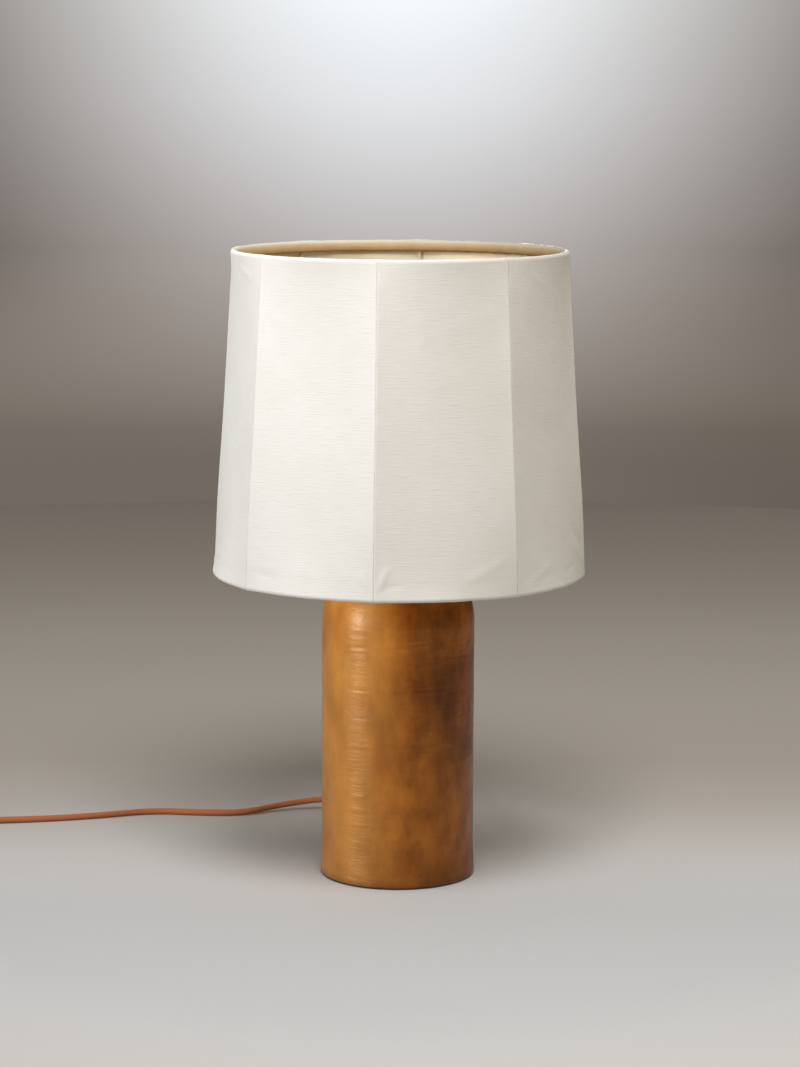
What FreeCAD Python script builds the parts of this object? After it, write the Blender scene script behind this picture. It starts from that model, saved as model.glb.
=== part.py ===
import FreeCAD, Part
import os
from math import atan2, cos, degrees, hypot, pi, radians, sin, sqrt, tan

# Column table lamp. Millimetres, +Z up, the origin at the centre of the face that it stands on.
# The lamp is seen from -Y in daily use, and its lead leaves at the back, on +Y.
V = FreeCAD.Vector
UP = V(0, 0, 1)

# Fits
slip = 0.1               # radial gap of a glued or threaded fit
running = 0.08           # radial gap of a shaft or stud that turns in its hole
seat_gap = 0.3           # gap under a part that can be turned by hand

# Column
column_radius = 73.0
column_height = 286.0
leather = 1.6
hem_swell = 1.1          # the leather is folded double at the foot and stands out by this
hem_height = 8.0
hem_corner = 2.6
hem_fade_height = 36.0   # where the swelling has died out
shoulder_rise = 40.0     # the shoulder starts to turn in this far below the top
crown_radius = 56.0      # radius of the flat top
shoulder_tight = 10.0    # small radius that turns the shoulder into the flat top
core_wall = 7.0
cap_spigot = 14.0
cap_roof = 22.0
cap_wall = 14.0
cap_lip = 2.0

# Foot
felt_thick = 2.0
felt_inset = 4.0
hem_clear = 1.0          # the hem stays this far above the table
weight_thick = 9.0
screw_count = 4
screw_shank = 1.75
screw_head = 3.4
screw_head_depth = 2.2
screw_length = 27.0
bulkhead_level = 60.0
bulkhead_thick = 12.0

# Threaded pipe and its fasteners
pipe_radius = 5.0
pipe_bore = 3.5
pipe_below_bulkhead = 8.0
pipe_above_saddle = 7.8
nut_flats = 14.0
nut_thick = 4.0
washer_radius = 12.0
washer_thick = 1.2
vase_cap_radius = 20.0
vase_cap_thick = 2.6
neck_radius = 10.5
neck_wall = 1.2
neck_height = 8.0
vase_cap_rim = 0.4       # the cap's plain rim as a share of its thickness

# Harp and its saddle
saddle_thick = 1.6
saddle_width = 10.0
saddle_pad_radius = 10.5
saddle_bend = 3.0
ear_reach = 33.0         # from the axis to the ear's inner face
ear_width = 3.2
ear_shoulder = 4.1       # above the saddle's top
ear_height = 16.8
harp_wire = 2.0
harp_leg_gap = 0.3
harp_leg_drop = 1.3      # the leg's end below the ear's shoulder
harp_straight_rise = 33.8     # these four are above the saddle's top
harp_bulge_start_rise = 81.8
harp_bulge_end_rise = 167.8
harp_crown_rise = 262.8
harp_half_width = 55.0
harp_crown_tight = 28.0
ferrule_bore = 3.5
ferrule_wall = 0.9
ferrule_length = 14.0

# Stud, shade hub and finial
stud_block_radius = 5.5
stud_block_below = 5.0
stud_disc_radius = 9.5
stud_disc_above_crown = 5.0
stud_disc_thick = 2.1
hub_bore = 5.0
hub_radius = 14.0
hub_thick = 3.0
stud_radius = 3.1
stud_length = 11.0
finial_height = 16.0
finial_foot = 7.0
finial_foot_thick = 1.5
finial_ball = 7.5
finial_ball_from = -50.0  # degrees below level where the ball leaves its neck

# Lamp holder
holder_cap_height = 17.0
holder_cap_radius = 17.6
holder_cap_foot = 8.0
holder_cap_collar = 3.0       # the cap's straight foot and the straight band at its rim
holder_cap_band = 6.0
holder_wall = 0.8
shell_radius = 16.7
shell_wall = 0.6
shell_rise = 14.8             # above the saddle's top, as the block and the switch are
shell_height = 44.0
liner_wall = 0.6
liner_shrink = 0.1
block_radius = 14.6
block_rise = 20.8
block_height = 17.0
thread_shell_wall = 0.5
thread_shell_height = 18.5
contact_thick = 1.6
contact_radius = 4.0
thread_shell_hole = 2.0       # the shell's floor stays this far from the contact
terminal_reach = 8.5
terminal_head = 2.6
terminal_head_thick = 1.6
terminal_shank = 1.4
terminal_length = 5.0
lead_radius = 1.0
lead_spread = 1.6
lead_straight = 3.0           # upright run above the cord's end and under a terminal
lead_bend = 1.4

# Turn switch
switch_rise = 29.3
switch_shaft_radius = 1.6
switch_shaft_inner = 4.0
switch_shaft_outer = 28.0
knob_radius = 6.2
knob_length = 13.0
knob_flutes = 12
knob_flute_radius = 0.9
knob_taper = 0.86             # the knob's outer end as a share of its inner end
knob_stand_off = 1.6

# Bulb
bulb_thread_radius = 13.1
bulb_thread_root = 12.2
bulb_thread_turns = 5
bulb_thread_below = 2.0       # plain metal under and over the thread
bulb_thread_above = 3.0
bulb_tip_height = 2.1
bulb_base_height = 23.0
bulb_glass_height = 83.0
bulb_glass_radius = 30.0
bulb_glass_wall = 1.0
bulb_metal_wall = 0.5
bulb_flank_radius = 17.5      # where the glass widens from its neck
bulb_flank_rise = 18.0
bulb_flank_angle = -38.0      # degrees below level where the flank meets the round
bulb_tip_radius = 3.2
bulb_glaze_radius = 10.8      # the black glaze between the tip and the metal base

# Shade
shade_top_rise = 32.7         # the shade's rim above its hub
shade_height = 307.7
shade_top_radius = 159.7
shade_bottom_radius = 177.5
panel_count = 8
rib_phase = -7.2         # degrees from straight ahead to the nearest rib, towards +X
ring_wire = 1.5
rib_wire = 1.1
binding_wall = 1.0
binding_slip = 0.5
binding_outer_leg = 3.5
top_inner_leg = 8.0
bottom_inner_leg = 7.0
cloth = 0.9
cloth_slip = 0.1
panel_edge_gap = 0.15
panel_shares = (0, 0.02, 0.05, 0.1, 0.2, 0.5, 0.8, 0.9, 0.95, 0.98, 1)   # heights of its sections
panel_flatness = 0.85    # 1 is a flat chord between two ribs, 0 a full round
panel_end_power = 8      # how sharply it turns round again at its two ends
spider_wire = 1.2
spider_ribs = (0, 2, 4, 6)   # the ribs that carry an arm

# Lead, in the order in which it leaves the lamp
cord_radius = 3.15
cord_exit_level = 18.0
cord_rise_radius = 30.0
cord_above_pipe = 3.0
relief_length = 22.0
relief_flange = 8.0
relief_flange_thick = 2.6
relief_root = 6.0
relief_tip = 4.3
relief_sleeve = 5.0
relief_bore_slip = 0.12
coil_floor_gap = 0.8
floor_run = cord_radius + 0.05
coil_level = cord_radius + coil_floor_gap
cord_route = [
    (0, 150, cord_exit_level), (-9, 203, 17), (-38, 244, 13.6), (-80, 257, 10.4), (-124, 246, 6),
    (-158, 223, 3.4), (-205, 223, floor_run), (-254, 231, floor_run), (-306, 209, floor_run),
    (-356, 194, floor_run), (-405, 184.5, coil_level), (-468, 175.5, coil_level),
]
coil_outer_radius = 41.5
coil_turn_gap = 0.6
coil_inward_half_turns = 4
coil_outward_half_turns = 5
tail_route = [(24, 2, 0.1), (48, -3, 1), (74, -2, 1)]   # ahead, to the right, share of the way down
tie_width = 9.0
tie_wall = 0.6
tie_slip = 0.15
tie_corner = 2.4
plug_length = 34.0
plug_width = 26.0
plug_thick = 15.0
plug_floor_gap = 0.05
plug_gap = 0.3           # between the lead's cut end and the moulded plug
plug_neck_length = 12.0
plug_neck_radius = 4.6
plug_neck_flare = 2.2
plug_corner = 4.5
blade_length = 15.9
blade_width = 6.35
blade_thick = 1.5
blade_spacing = 12.7
blade_root = 6.0
blade_chamfer = 1.6

# Worked out from the sizes above
core_radius = column_radius - leather
core_bore = core_radius - core_wall
weight_top = felt_thick + weight_thick
cap_top = column_height - leather
pipe_hole = pipe_radius + slip / 2
vase_cap_top = column_height + vase_cap_thick
neck_top = vase_cap_top + neck_height
saddle_top = neck_top + saddle_thick
ear_outer = ear_reach + saddle_thick
harp_leg = ear_outer + harp_leg_gap + harp_wire
shoulder_level = saddle_top + ear_shoulder
shoulder_start = column_height - shoulder_rise
pipe_bottom = bulkhead_level - pipe_below_bulkhead
pipe_top = saddle_top + pipe_above_saddle
cord_top = pipe_top + cord_above_pipe
harp_leg_straight = saddle_top + harp_straight_rise
harp_bulge_start = saddle_top + harp_bulge_start_rise
harp_bulge_end = saddle_top + harp_bulge_end_rise
harp_crown = saddle_top + harp_crown_rise
stud_disc_level = harp_crown + stud_disc_above_crown
shell_bottom = saddle_top + shell_rise
shell_top = shell_bottom + shell_height
block_bottom = saddle_top + block_rise
block_top = block_bottom + block_height
thread_shell_top = block_top + thread_shell_height
switch_level = saddle_top + switch_rise
ferrule_axis = (ear_reach + harp_leg + harp_wire) / 2
stud_disc_top = stud_disc_level + stud_disc_thick
hub_bottom = stud_disc_top + seat_gap
hub_top = hub_bottom + hub_thick
boss_radius = hub_bore - running
finial_bottom = hub_top + seat_gap
shade_top_level = hub_bottom + shade_top_rise
binding_inner = ring_wire + binding_slip
binding_outer = binding_inner + binding_wall
top_ring_radius = shade_top_radius - binding_outer
top_ring_level = shade_top_level - binding_outer
bottom_ring_radius = shade_bottom_radius - binding_outer
bottom_ring_level = shade_top_level - shade_height + binding_outer
panel_top = top_ring_level - binding_outer_leg - panel_edge_gap
panel_bottom = bottom_ring_level + binding_outer_leg + panel_edge_gap
panel_step = 360.0 / panel_count
liner_outer = shell_radius - shell_wall - liner_shrink
liner_bore = liner_outer - liner_wall
thread_shell_bore = bulb_thread_radius + running
contact_top = block_top + contact_thick
bulb_tip = contact_top + seat_gap
bulb_base_bottom = bulb_tip + bulb_tip_height
bulb_base_top = bulb_base_bottom + bulb_base_height
bulb_glass_top = bulb_base_top + bulb_glass_height
bulb_thread_pitch = (bulb_base_height - bulb_thread_below - bulb_thread_above) / bulb_thread_turns
relief_end = column_radius + relief_length + relief_flange_thick
coil_pitch = 2 * cord_radius + coil_turn_gap
tail_drop = coil_level + coil_pitch - plug_thick / 2 - plug_floor_gap


def save(name, *shapes):
    """Writes one sub-part, made of one solid or of several separate ones."""
    shape = shapes[0] if len(shapes) == 1 else Part.makeCompound(list(shapes))
    assert shape.isValid(), name
    shape.exportStep("parts/" + name + ".step")
    box = shape.optimalBoundingBox(True, False)
    print("%-16s solids %d  volume %.0f  z %.1f..%.1f" % (name, len(shape.Solids), shape.Volume, box.ZMin, box.ZMax))
    return shape


def tube(z0, z1, radius, bore=0.0):
    """An upright cylinder with an optional bore through it."""
    solid = Part.makeCylinder(radius, z1 - z0, V(0, 0, z0))
    if bore:
        solid = solid.cut(Part.makeCylinder(bore, z1 - z0 + 2, V(0, 0, z0 - 1)))
    return solid


def edges_through(steps):
    """Lines and arcs through (x, z) steps: a step of two points is an arc through the first to the second."""
    at = V(steps[0][0], 0, steps[0][1])
    edges = []
    for step in steps[1:]:
        if isinstance(step[0], tuple):
            middle, end = [V(x, 0, z) for x, z in step]
            edges.append(Part.Arc(at, middle, end).toShape())
        else:
            end = V(step[0], 0, step[1])
            edges.append(Part.LineSegment(at, end).toShape())
        at = end
    return edges


def lathe(*steps):
    """Turns a closed outline of (radius, z) steps about the lamp's axis."""
    wire = Part.Wire(edges_through(list(steps) + [steps[0]]))
    return Part.Face(wire).revolve(V(0, 0, 0), UP, 360)


def hexagon(z0, z1, flats, hole):
    corner = flats / sqrt(3)
    points = [V(corner * cos(radians(a)), corner * sin(radians(a)), z0) for a in range(0, 361, 60)]
    return Part.Face(Part.makePolygon(points)).extrude(V(0, 0, z1 - z0)).cut(tube(z0 - 1, z1 + 1, hole))


def turned(shape, angle, about=V(0, 0, 0), axis=UP):
    copy = shape.copy()
    copy.rotate(about, axis, angle)
    return copy


def from_front(radius, angle, z):
    """The point at an angle from straight ahead (-Y), positive towards +X."""
    return V(radius * sin(radians(angle)), -radius * cos(radians(angle)), z)


def bent_path(points, radius=None, report=None):
    """Straight runs joined by tangent arcs, each as large as its two runs allow unless a radius is given."""
    points = [V(*p) for p in points]
    edges = []
    radii = []
    at = points[0]
    for before, corner, after in zip(points, points[1:], points[2:]):
        back = (before - corner).normalize()
        ahead = (after - corner).normalize()
        half_turn = (pi - back.getAngle(ahead)) / 2
        shorter = min((before - corner).Length, (after - corner).Length)
        bend = radius or 0.45 * shorter / tan(half_turn)
        trim = bend * tan(half_turn)
        start = corner + back * trim
        end = corner + ahead * trim
        inward = (back + ahead).normalize()
        middle = corner + inward * (bend / cos(half_turn) - bend)
        edges.append(Part.LineSegment(at, start).toShape())
        edges.append(Part.Arc(start, middle, end).toShape())
        radii.append(bend)
        at = end
    edges.append(Part.LineSegment(at, points[-1]).toShape())
    if report:
        print(report, "bend radii", [round(r) for r in radii])
    return edges


def swept(edges, radius, bore=0.0):
    """A round bar along a path of tangent edges."""
    spine = Part.Wire(edges)
    start = edges[0].Vertexes[0].Point
    heading = edges[0].tangentAt(edges[0].FirstParameter)

    def bar(r):
        ring = Part.Wire(Part.Circle(start, heading, r).toShape())
        return spine.makePipeShell([ring], True, False)

    solid = bar(radius)
    if bore:
        solid = solid.cut(bar(bore))
    expected = pi * (radius * radius - bore * bore) * spine.Length
    assert abs(solid.Volume / expected - 1) < 0.01, "a swept bar lost its section"
    return solid


def two_arcs(x0, z0, x1, z1, tight):
    """A quarter turn from upright at (x0, z0) to level at (x1, z1): a wide arc, then a tight one."""
    run = abs(x0 - x1)
    side = 1 if x0 > x1 else -1
    rise = z1 - z0 - tight
    wide = (run * run + rise * rise - tight * tight) / (2 * (run - tight))
    share = atan2(rise, wide - run)
    c1 = (x0 - side * wide, z0)
    c2 = (x1, z1 - tight)

    def on(centre, radius, angle):
        return (centre[0] + side * radius * cos(angle), centre[1] + radius * sin(angle))

    joint = on(c1, wide, share)
    return [(on(c1, wide, share / 2), joint), (on(c2, tight, (share + pi / 2) / 2), (x1, z1))]


def shoulder(inset):
    """The shoulder's outline, moved inwards by a leather's thickness or not at all."""
    arcs = two_arcs(column_radius, shoulder_start, crown_radius, column_height, shoulder_tight)
    run = column_radius - crown_radius
    rise = column_height - shoulder_start - shoulder_tight
    wide = (run ** 2 + rise ** 2 - shoulder_tight ** 2) / (2 * (run - shoulder_tight))
    centres = [(column_radius - wide, shoulder_start), (crown_radius, column_height - shoulder_tight)]

    def shift(point, centre):
        dx, dz = point[0] - centre[0], point[1] - centre[1]
        keep = 1 - inset / hypot(dx, dz)
        return (centre[0] + dx * keep, centre[1] + dz * keep)

    return [tuple(shift(point, centre) for point in arc) for arc, centre in zip(arcs, centres)]


# ---------------------------------------------------------------- column

def column_envelope():
    """The leather's outer form as one full solid: swollen hem, straight body, rounded shoulder."""
    hem = column_radius + hem_swell
    corner = hem_corner * (1 - cos(pi / 4))
    return lathe(
        (0, hem_clear), (hem - hem_corner, hem_clear),
        ((hem - corner, hem_clear + corner), (hem, hem_clear + hem_corner)),
        (hem, hem_height), (column_radius, hem_fade_height), (column_radius, shoulder_start),
        *shoulder(0), (0, column_height),
    )


def leather_wrap():
    inner = lathe((0, 0), (core_radius, 0), (core_radius, shoulder_start), *shoulder(leather), (0, cap_top))
    sleeve = column_envelope().cut(inner).cut(tube(cap_top - 1, column_height + 1, crown_radius))
    return sleeve.cut(exit_hole(relief_sleeve + slip))


def exit_hole(radius):
    """A round hole through the back of the wall for the lead's bush."""
    return Part.makeCylinder(radius, column_radius, V(0, core_bore - 5, cord_exit_level), V(0, 1, 0))


def screw_places():
    reach = core_radius - core_wall / 2
    for k in range(screw_count):
        angle = radians(360 / screw_count * (k + 0.5))
        yield V(reach * cos(angle), reach * sin(angle), felt_thick)


def screw(place, extra=0.0):
    """A countersunk wood screw that goes up from the foot into the core's wall."""
    head = Part.makeCone(screw_head + extra, screw_shank + extra, screw_head_depth, place)
    return head.fuse(Part.makeCylinder(screw_shank + extra, screw_length, place))


def make_column():
    save("felt_pad", tube(0, felt_thick, core_radius - felt_inset + leather))
    weight = tube(felt_thick, weight_top, core_radius - slip)
    core = tube(weight_top, shoulder_start - cap_lip, core_radius - slip, core_bore)
    for place in screw_places():
        weight = weight.cut(screw(place, slip / 2))
        core = core.cut(screw(place, slip / 2))
    save("base_weight", weight)
    save("base_screws", *[screw(place) for place in screw_places()])
    save("core_tube", core.cut(exit_hole(relief_sleeve + slip)))
    save("bulkhead", tube(bulkhead_level, bulkhead_level + bulkhead_thick, core_bore - slip, pipe_hole))
    spigot = core_bore - slip
    outer = core_radius - slip
    cap_bottom = shoulder_start - cap_lip
    save("top_cap", lathe(
        (spigot, cap_bottom), (outer, cap_bottom), (outer, shoulder_start),
        *shoulder(leather + slip), (pipe_hole, cap_top - slip), (pipe_hole, cap_top - cap_roof),
        (spigot - cap_wall, cap_top - cap_roof), (spigot - cap_wall, cap_bottom - cap_spigot),
        (spigot, cap_bottom - cap_spigot)))
    save("leather_wrap", leather_wrap())
    save("leather_top", tube(cap_top, column_height, crown_radius - slip, pipe_hole))


def make_pipe():
    save("lamp_pipe", tube(pipe_bottom, pipe_top, pipe_radius, pipe_bore))
    washer_bottom = bulkhead_level - washer_thick
    save("pipe_nuts",
         tube(washer_bottom, bulkhead_level, washer_radius, pipe_hole),
         hexagon(washer_bottom - nut_thick - slip, washer_bottom - slip, nut_flats, pipe_hole),
         hexagon(vase_cap_top, vase_cap_top + nut_thick, nut_flats, pipe_hole))
    rim = vase_cap_thick * vase_cap_rim
    save("vase_cap", lathe(
        (pipe_hole, column_height), (vase_cap_radius, column_height), (vase_cap_radius, column_height + rim),
        ((vase_cap_radius * 0.8, column_height + vase_cap_thick * 0.85), (vase_cap_radius * 0.6, vase_cap_top)),
        (pipe_hole, vase_cap_top)))
    bore = neck_radius - neck_wall
    save("neck", lathe(
        (bore, vase_cap_top), (neck_radius, vase_cap_top), (neck_radius, neck_top), (pipe_hole, neck_top),
        (pipe_hole, neck_top - neck_wall), (bore, neck_top - neck_wall)))


# ---------------------------------------------------------------- harp

def make_saddle():
    half = saddle_width / 2
    top = saddle_top
    corner_in = saddle_bend * (1 - cos(pi / 4))
    bend_out = saddle_bend + saddle_thick
    corner_out = bend_out * (1 - cos(pi / 4))
    ear_top = saddle_top + ear_height
    right = [
        (0, neck_top), (ear_outer - bend_out, neck_top),
        ((ear_outer - corner_out, neck_top + corner_out), (ear_outer, neck_top + bend_out)),
        (ear_outer, ear_top), (ear_reach, ear_top), (ear_reach, top + saddle_bend),
        ((ear_reach - corner_in, top + corner_in), (ear_reach - saddle_bend, top)), (0, top),
    ]
    face = Part.Face(Part.Wire(edges_through(right + [right[0]])))
    face.translate(V(0, -half, 0))
    strip = face.extrude(V(0, saddle_width, 0))
    side = (saddle_width - ear_width) / 2
    for y in (-half - 1, half - side):
        strip = strip.cut(Part.makeBox(ear_outer, side + 1, ear_height, V(1, y, shoulder_level)))
    pad = tube(neck_top, saddle_top, saddle_pad_radius)
    whole = strip.fuse(turned(strip, 180)).fuse(pad).removeSplitter()
    save("harp_saddle", whole.cut(tube(neck_top - 1, saddle_top + 1, pipe_hole)))


def harp_path():
    """One wire: up a leg, out round the bulb, over the crown and down again."""
    out = harp_half_width - harp_leg
    rise = harp_bulge_start - harp_leg_straight
    turn = 2 * atan2(out, rise)
    bend = rise / (2 * sin(turn))
    side_x = bend * (1 - cos(turn / 2))
    side_z = bend * sin(turn / 2)
    half = [
        (harp_leg, shoulder_level - harp_leg_drop), (harp_leg, harp_leg_straight),
        ((harp_leg + side_x, harp_leg_straight + side_z),
         (harp_leg + out / 2, (harp_leg_straight + harp_bulge_start) / 2)),
        ((harp_half_width - side_x, harp_bulge_start - side_z), (harp_half_width, harp_bulge_start)),
        (harp_half_width, harp_bulge_end),
        *two_arcs(harp_half_width, harp_bulge_end, 0, harp_crown, harp_crown_tight),
    ]
    mirrored = []
    points = [half[0] if not isinstance(half[0][0], tuple) else half[0][1]]
    for step in half[1:]:
        points.append(step[1] if isinstance(step[0], tuple) else step)
    for k in range(len(half) - 1, 0, -1):
        end = (-points[k - 1][0], points[k - 1][1])
        if isinstance(half[k][0], tuple):
            middle = (-half[k][0][0], half[k][0][1])
            mirrored.append((middle, end))
        else:
            mirrored.append(end)
    return edges_through(half + mirrored)


def make_harp():
    wire = swept(harp_path(), harp_wire)
    save("harp", wire)
    post = tube(harp_crown - stud_block_below, stud_disc_level, stud_block_radius)
    post = post.fuse(tube(stud_disc_level, stud_disc_top, stud_disc_radius))
    boss_top = hub_top - seat_gap
    post = post.fuse(tube(stud_disc_top, boss_top, boss_radius))
    post = post.fuse(tube(boss_top, boss_top + stud_length, stud_radius))
    save("harp_stud", post.removeSplitter().cut(wire))
    ferrule = tube(0, ferrule_length, ferrule_bore + ferrule_wall, ferrule_bore)
    for name, side in (("ferrule_left", -1), ("ferrule_right", 1)):
        sleeve = ferrule.copy()
        sleeve.translate(V(side * ferrule_axis, 0, shoulder_level + seat_gap))
        save(name, sleeve)
    bore = stud_radius + running
    bottom = finial_bottom
    blind = hub_top - seat_gap + stud_length + 1
    ball_middle = bottom + finial_height - finial_ball

    def on_ball(angle):
        return (finial_ball * cos(radians(angle)), ball_middle + finial_ball * sin(radians(angle)))

    low = on_ball(finial_ball_from)
    save("finial", lathe(
        (bore, bottom), (finial_foot, bottom), (finial_foot, bottom + finial_foot_thick), (low[0], low[1] - 0.8), low,
        (on_ball(20), on_ball(90)), (0, blind), (bore, blind)))


# ---------------------------------------------------------------- lamp holder, switch and bulb

def make_holder():
    foot = saddle_top + slip
    rim = saddle_top + holder_cap_height
    flare = rim - holder_cap_band
    collar = foot + holder_cap_collar
    bore = holder_cap_foot - holder_wall
    inside = holder_cap_radius - holder_wall
    save("socket_cap", lathe(
        (pipe_hole, foot), (holder_cap_foot, foot), (holder_cap_foot, collar),
        ((holder_cap_radius - 2.6, flare - 3.2), (holder_cap_radius, flare)), (holder_cap_radius, rim),
        (inside, rim), (inside, flare),
        ((holder_cap_radius - 3.6, flare - 2.6), (bore, collar + 1)),
        (bore, collar + 2), (pipe_hole, collar + 2)))
    shaft_way = Part.makeCylinder(switch_shaft_radius + 0.8, 3 * shell_radius, V(0, 0, switch_level), V(0, -1, 0))
    shell_outer = min(shell_radius, inside - slip)
    save("socket_shell", tube(shell_bottom, shell_top, shell_outer, shell_outer - shell_wall).cut(shaft_way))
    save("socket_liner", tube(shell_bottom + 2, shell_top - 1, liner_outer, liner_bore).cut(shaft_way))
    block = tube(block_bottom, block_top, block_radius)
    shaft_hole = Part.makeCylinder(switch_shaft_radius + running, block_radius + 1,
                                   V(0, -switch_shaft_inner + 0.5, switch_level), V(0, -1, 0))
    block = block.cut(shaft_hole)
    screws = []
    leads = []
    for side in (-1, 1):
        place = V(side * terminal_reach, 0, block_bottom)
        block = block.cut(Part.makeCylinder(terminal_shank + slip / 2, terminal_length + 1, place))
        head = Part.makeCylinder(terminal_head, terminal_head_thick, place - UP * terminal_head_thick)
        screws.append(head.fuse(Part.makeCylinder(terminal_shank, terminal_length + 0.5, place - UP * 0.5)))
        low = (side * lead_spread, 0, cord_top)
        bend = (side * lead_spread, 0, cord_top + lead_straight)
        end = (side * terminal_reach, 0, block_bottom - terminal_head_thick)
        high = (end[0], 0, end[2] - lead_straight + 0.2)
        leads.append(swept(bent_path([low, bend, high, end], lead_bend), lead_radius))
    save("socket_body", block)
    save("terminal_screws", *screws)
    save("socket_leads", *leads)
    outer = thread_shell_bore + thread_shell_wall
    save("screw_shell", lathe(
        (contact_radius + thread_shell_hole, block_top), (outer, block_top), (outer, thread_shell_top),
        (thread_shell_bore, thread_shell_top), (thread_shell_bore, block_top + thread_shell_wall),
        (contact_radius + thread_shell_hole, block_top + thread_shell_wall)))
    save("centre_contact", tube(block_top, contact_top, contact_radius))


def make_switch():
    out = V(0, -1, 0)
    shaft = Part.makeCylinder(switch_shaft_radius, switch_shaft_outer - switch_shaft_inner,
                              V(0, -switch_shaft_inner, switch_level), out)
    save("switch_shaft", shaft)
    inner = shell_radius + knob_stand_off
    knob = Part.makeCone(knob_radius, knob_radius * knob_taper, knob_length, V(0, -inner, switch_level), out)
    for k in range(knob_flutes):
        angle = radians(360 / knob_flutes * k)
        groove = V(knob_radius * 1.06 * cos(angle), -inner - 1.5, switch_level + knob_radius * 1.06 * sin(angle))
        knob = knob.cut(Part.makeCylinder(knob_flute_radius, knob_length, groove, out))
    knob = knob.cut(Part.makeCylinder(switch_shaft_radius + slip / 2, switch_shaft_outer - inner + 0.5,
                                      V(0, -inner + 0.25, switch_level), out))
    save("switch_knob", knob)


def make_bulb():
    tip = bulb_tip
    save("bulb_contact", lathe(
        (0, tip), (bulb_tip_radius, tip + 0.4), (bulb_tip_radius + 1.4, bulb_base_bottom + 0.2),
        (bulb_glaze_radius, bulb_base_bottom + 1.4), (bulb_glaze_radius, bulb_base_bottom + 3),
        (0, bulb_base_bottom + 3)))
    root = bulb_thread_root
    crest = bulb_thread_radius
    wall = bulb_metal_wall
    lip = bulb_glaze_radius + slip
    start = bulb_base_bottom + bulb_thread_below
    outline = [(lip, bulb_base_bottom + 1.6), (root, start)]
    for k in range(bulb_thread_turns):
        z = start + k * bulb_thread_pitch
        outline.append(((crest, z + bulb_thread_pitch / 2), (root, z + bulb_thread_pitch)))
    outline += [(root, bulb_base_top), (root - wall, bulb_base_top), (root - wall, start + wall),
                (lip, start + wall)]
    save("bulb_base", lathe(*outline))
    neck = root - wall - slip
    middle = bulb_glass_top - bulb_glass_radius
    wall = bulb_glass_wall
    lean = radians(bulb_flank_angle)
    low = (bulb_glass_radius * cos(lean), middle + bulb_glass_radius * sin(lean))
    flank = (bulb_flank_radius, bulb_base_top + bulb_flank_rise)
    bottom = bulb_base_bottom + 6
    save("bulb_glass", lathe(
        (neck, bottom), (neck, bulb_base_top + 1), flank, low,
        ((bulb_glass_radius, middle), (0, bulb_glass_top)), (0, bulb_glass_top - wall),
        ((bulb_glass_radius - wall, middle), (low[0] - wall, low[1] + wall * 0.3)),
        (flank[0] - wall, flank[1] + wall * 0.3), (neck - wall, bulb_base_top + 1.3), (neck - wall, bottom)))


# ---------------------------------------------------------------- shade

def torus(radius, z, wire):
    return Part.makeTorus(radius, wire, V(0, 0, z))


def binding(radius, z, down, inner_leg):
    """Cloth rolled over a ring and turned in: open on the side where the ribs come in."""
    side = -1 if down else 1
    a, b = binding_inner, binding_outer

    def at(x, h):
        return (radius + x, z + side * h)

    return lathe(
        at(b, binding_outer_leg), at(b, 0), (at(0, -b), at(-b, 0)), at(-b, inner_leg), at(-a, inner_leg),
        at(-a, 0), (at(0, -a), at(a, 0)), at(a, binding_outer_leg))


def rib_radius(z):
    """Radius of a rib's centre line at a height."""
    share = (z - bottom_ring_level) / (top_ring_level - bottom_ring_level)
    return bottom_ring_radius + share * (top_ring_radius - bottom_ring_radius)


def rib_angle(k):
    return rib_phase + k * panel_step


def panel_section(z, first, last):
    """A panel's cut across: round at a ring, nearly a straight chord everywhere else."""
    share = (z - panel_bottom) / (panel_top - panel_bottom)
    flat = panel_flatness * (1 - abs(2 * share - 1) ** panel_end_power)
    inner = rib_radius(z) + rib_wire + cloth_slip
    outer = inner + cloth
    middle = (first + last) / 2
    drop = 1 - flat * (1 - cos(radians(last - first) / 2))
    edge = degrees(panel_edge_gap / 2 / inner)
    a, b = first + edge, last - edge
    points = [from_front(inner, a, z), from_front(inner * drop, middle, z), from_front(inner, b, z),
              from_front(outer, b, z), from_front(outer * drop, middle, z), from_front(outer, a, z)]
    return Part.Wire([
        Part.Arc(points[0], points[1], points[2]).toShape(), Part.LineSegment(points[2], points[3]).toShape(),
        Part.Arc(points[3], points[4], points[5]).toShape(), Part.LineSegment(points[5], points[0]).toShape()])


def panel(k):
    levels = [panel_bottom + s * (panel_top - panel_bottom) for s in panel_shares]
    first, last = rib_angle(k), rib_angle(k + 1)
    return Part.makeLoft([panel_section(z, first, last) for z in levels], True, False)


def rib(k):
    low = from_front(bottom_ring_radius, rib_angle(k), bottom_ring_level)
    high = from_front(top_ring_radius, rib_angle(k), top_ring_level)
    return Part.makeCylinder(rib_wire, (high - low).Length, low, high - low)


def spider_arm(k):
    """A straight wire from the hub to a rib, below the rim."""
    level = (hub_bottom + hub_top) / 2
    inner = from_front(hub_bore + spider_wire, rib_angle(k), level)
    outer = from_front(rib_radius(level), rib_angle(k), level)
    return Part.makeCylinder(spider_wire, (outer - inner).Length, inner, outer - inner).cut(rib(k))


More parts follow.
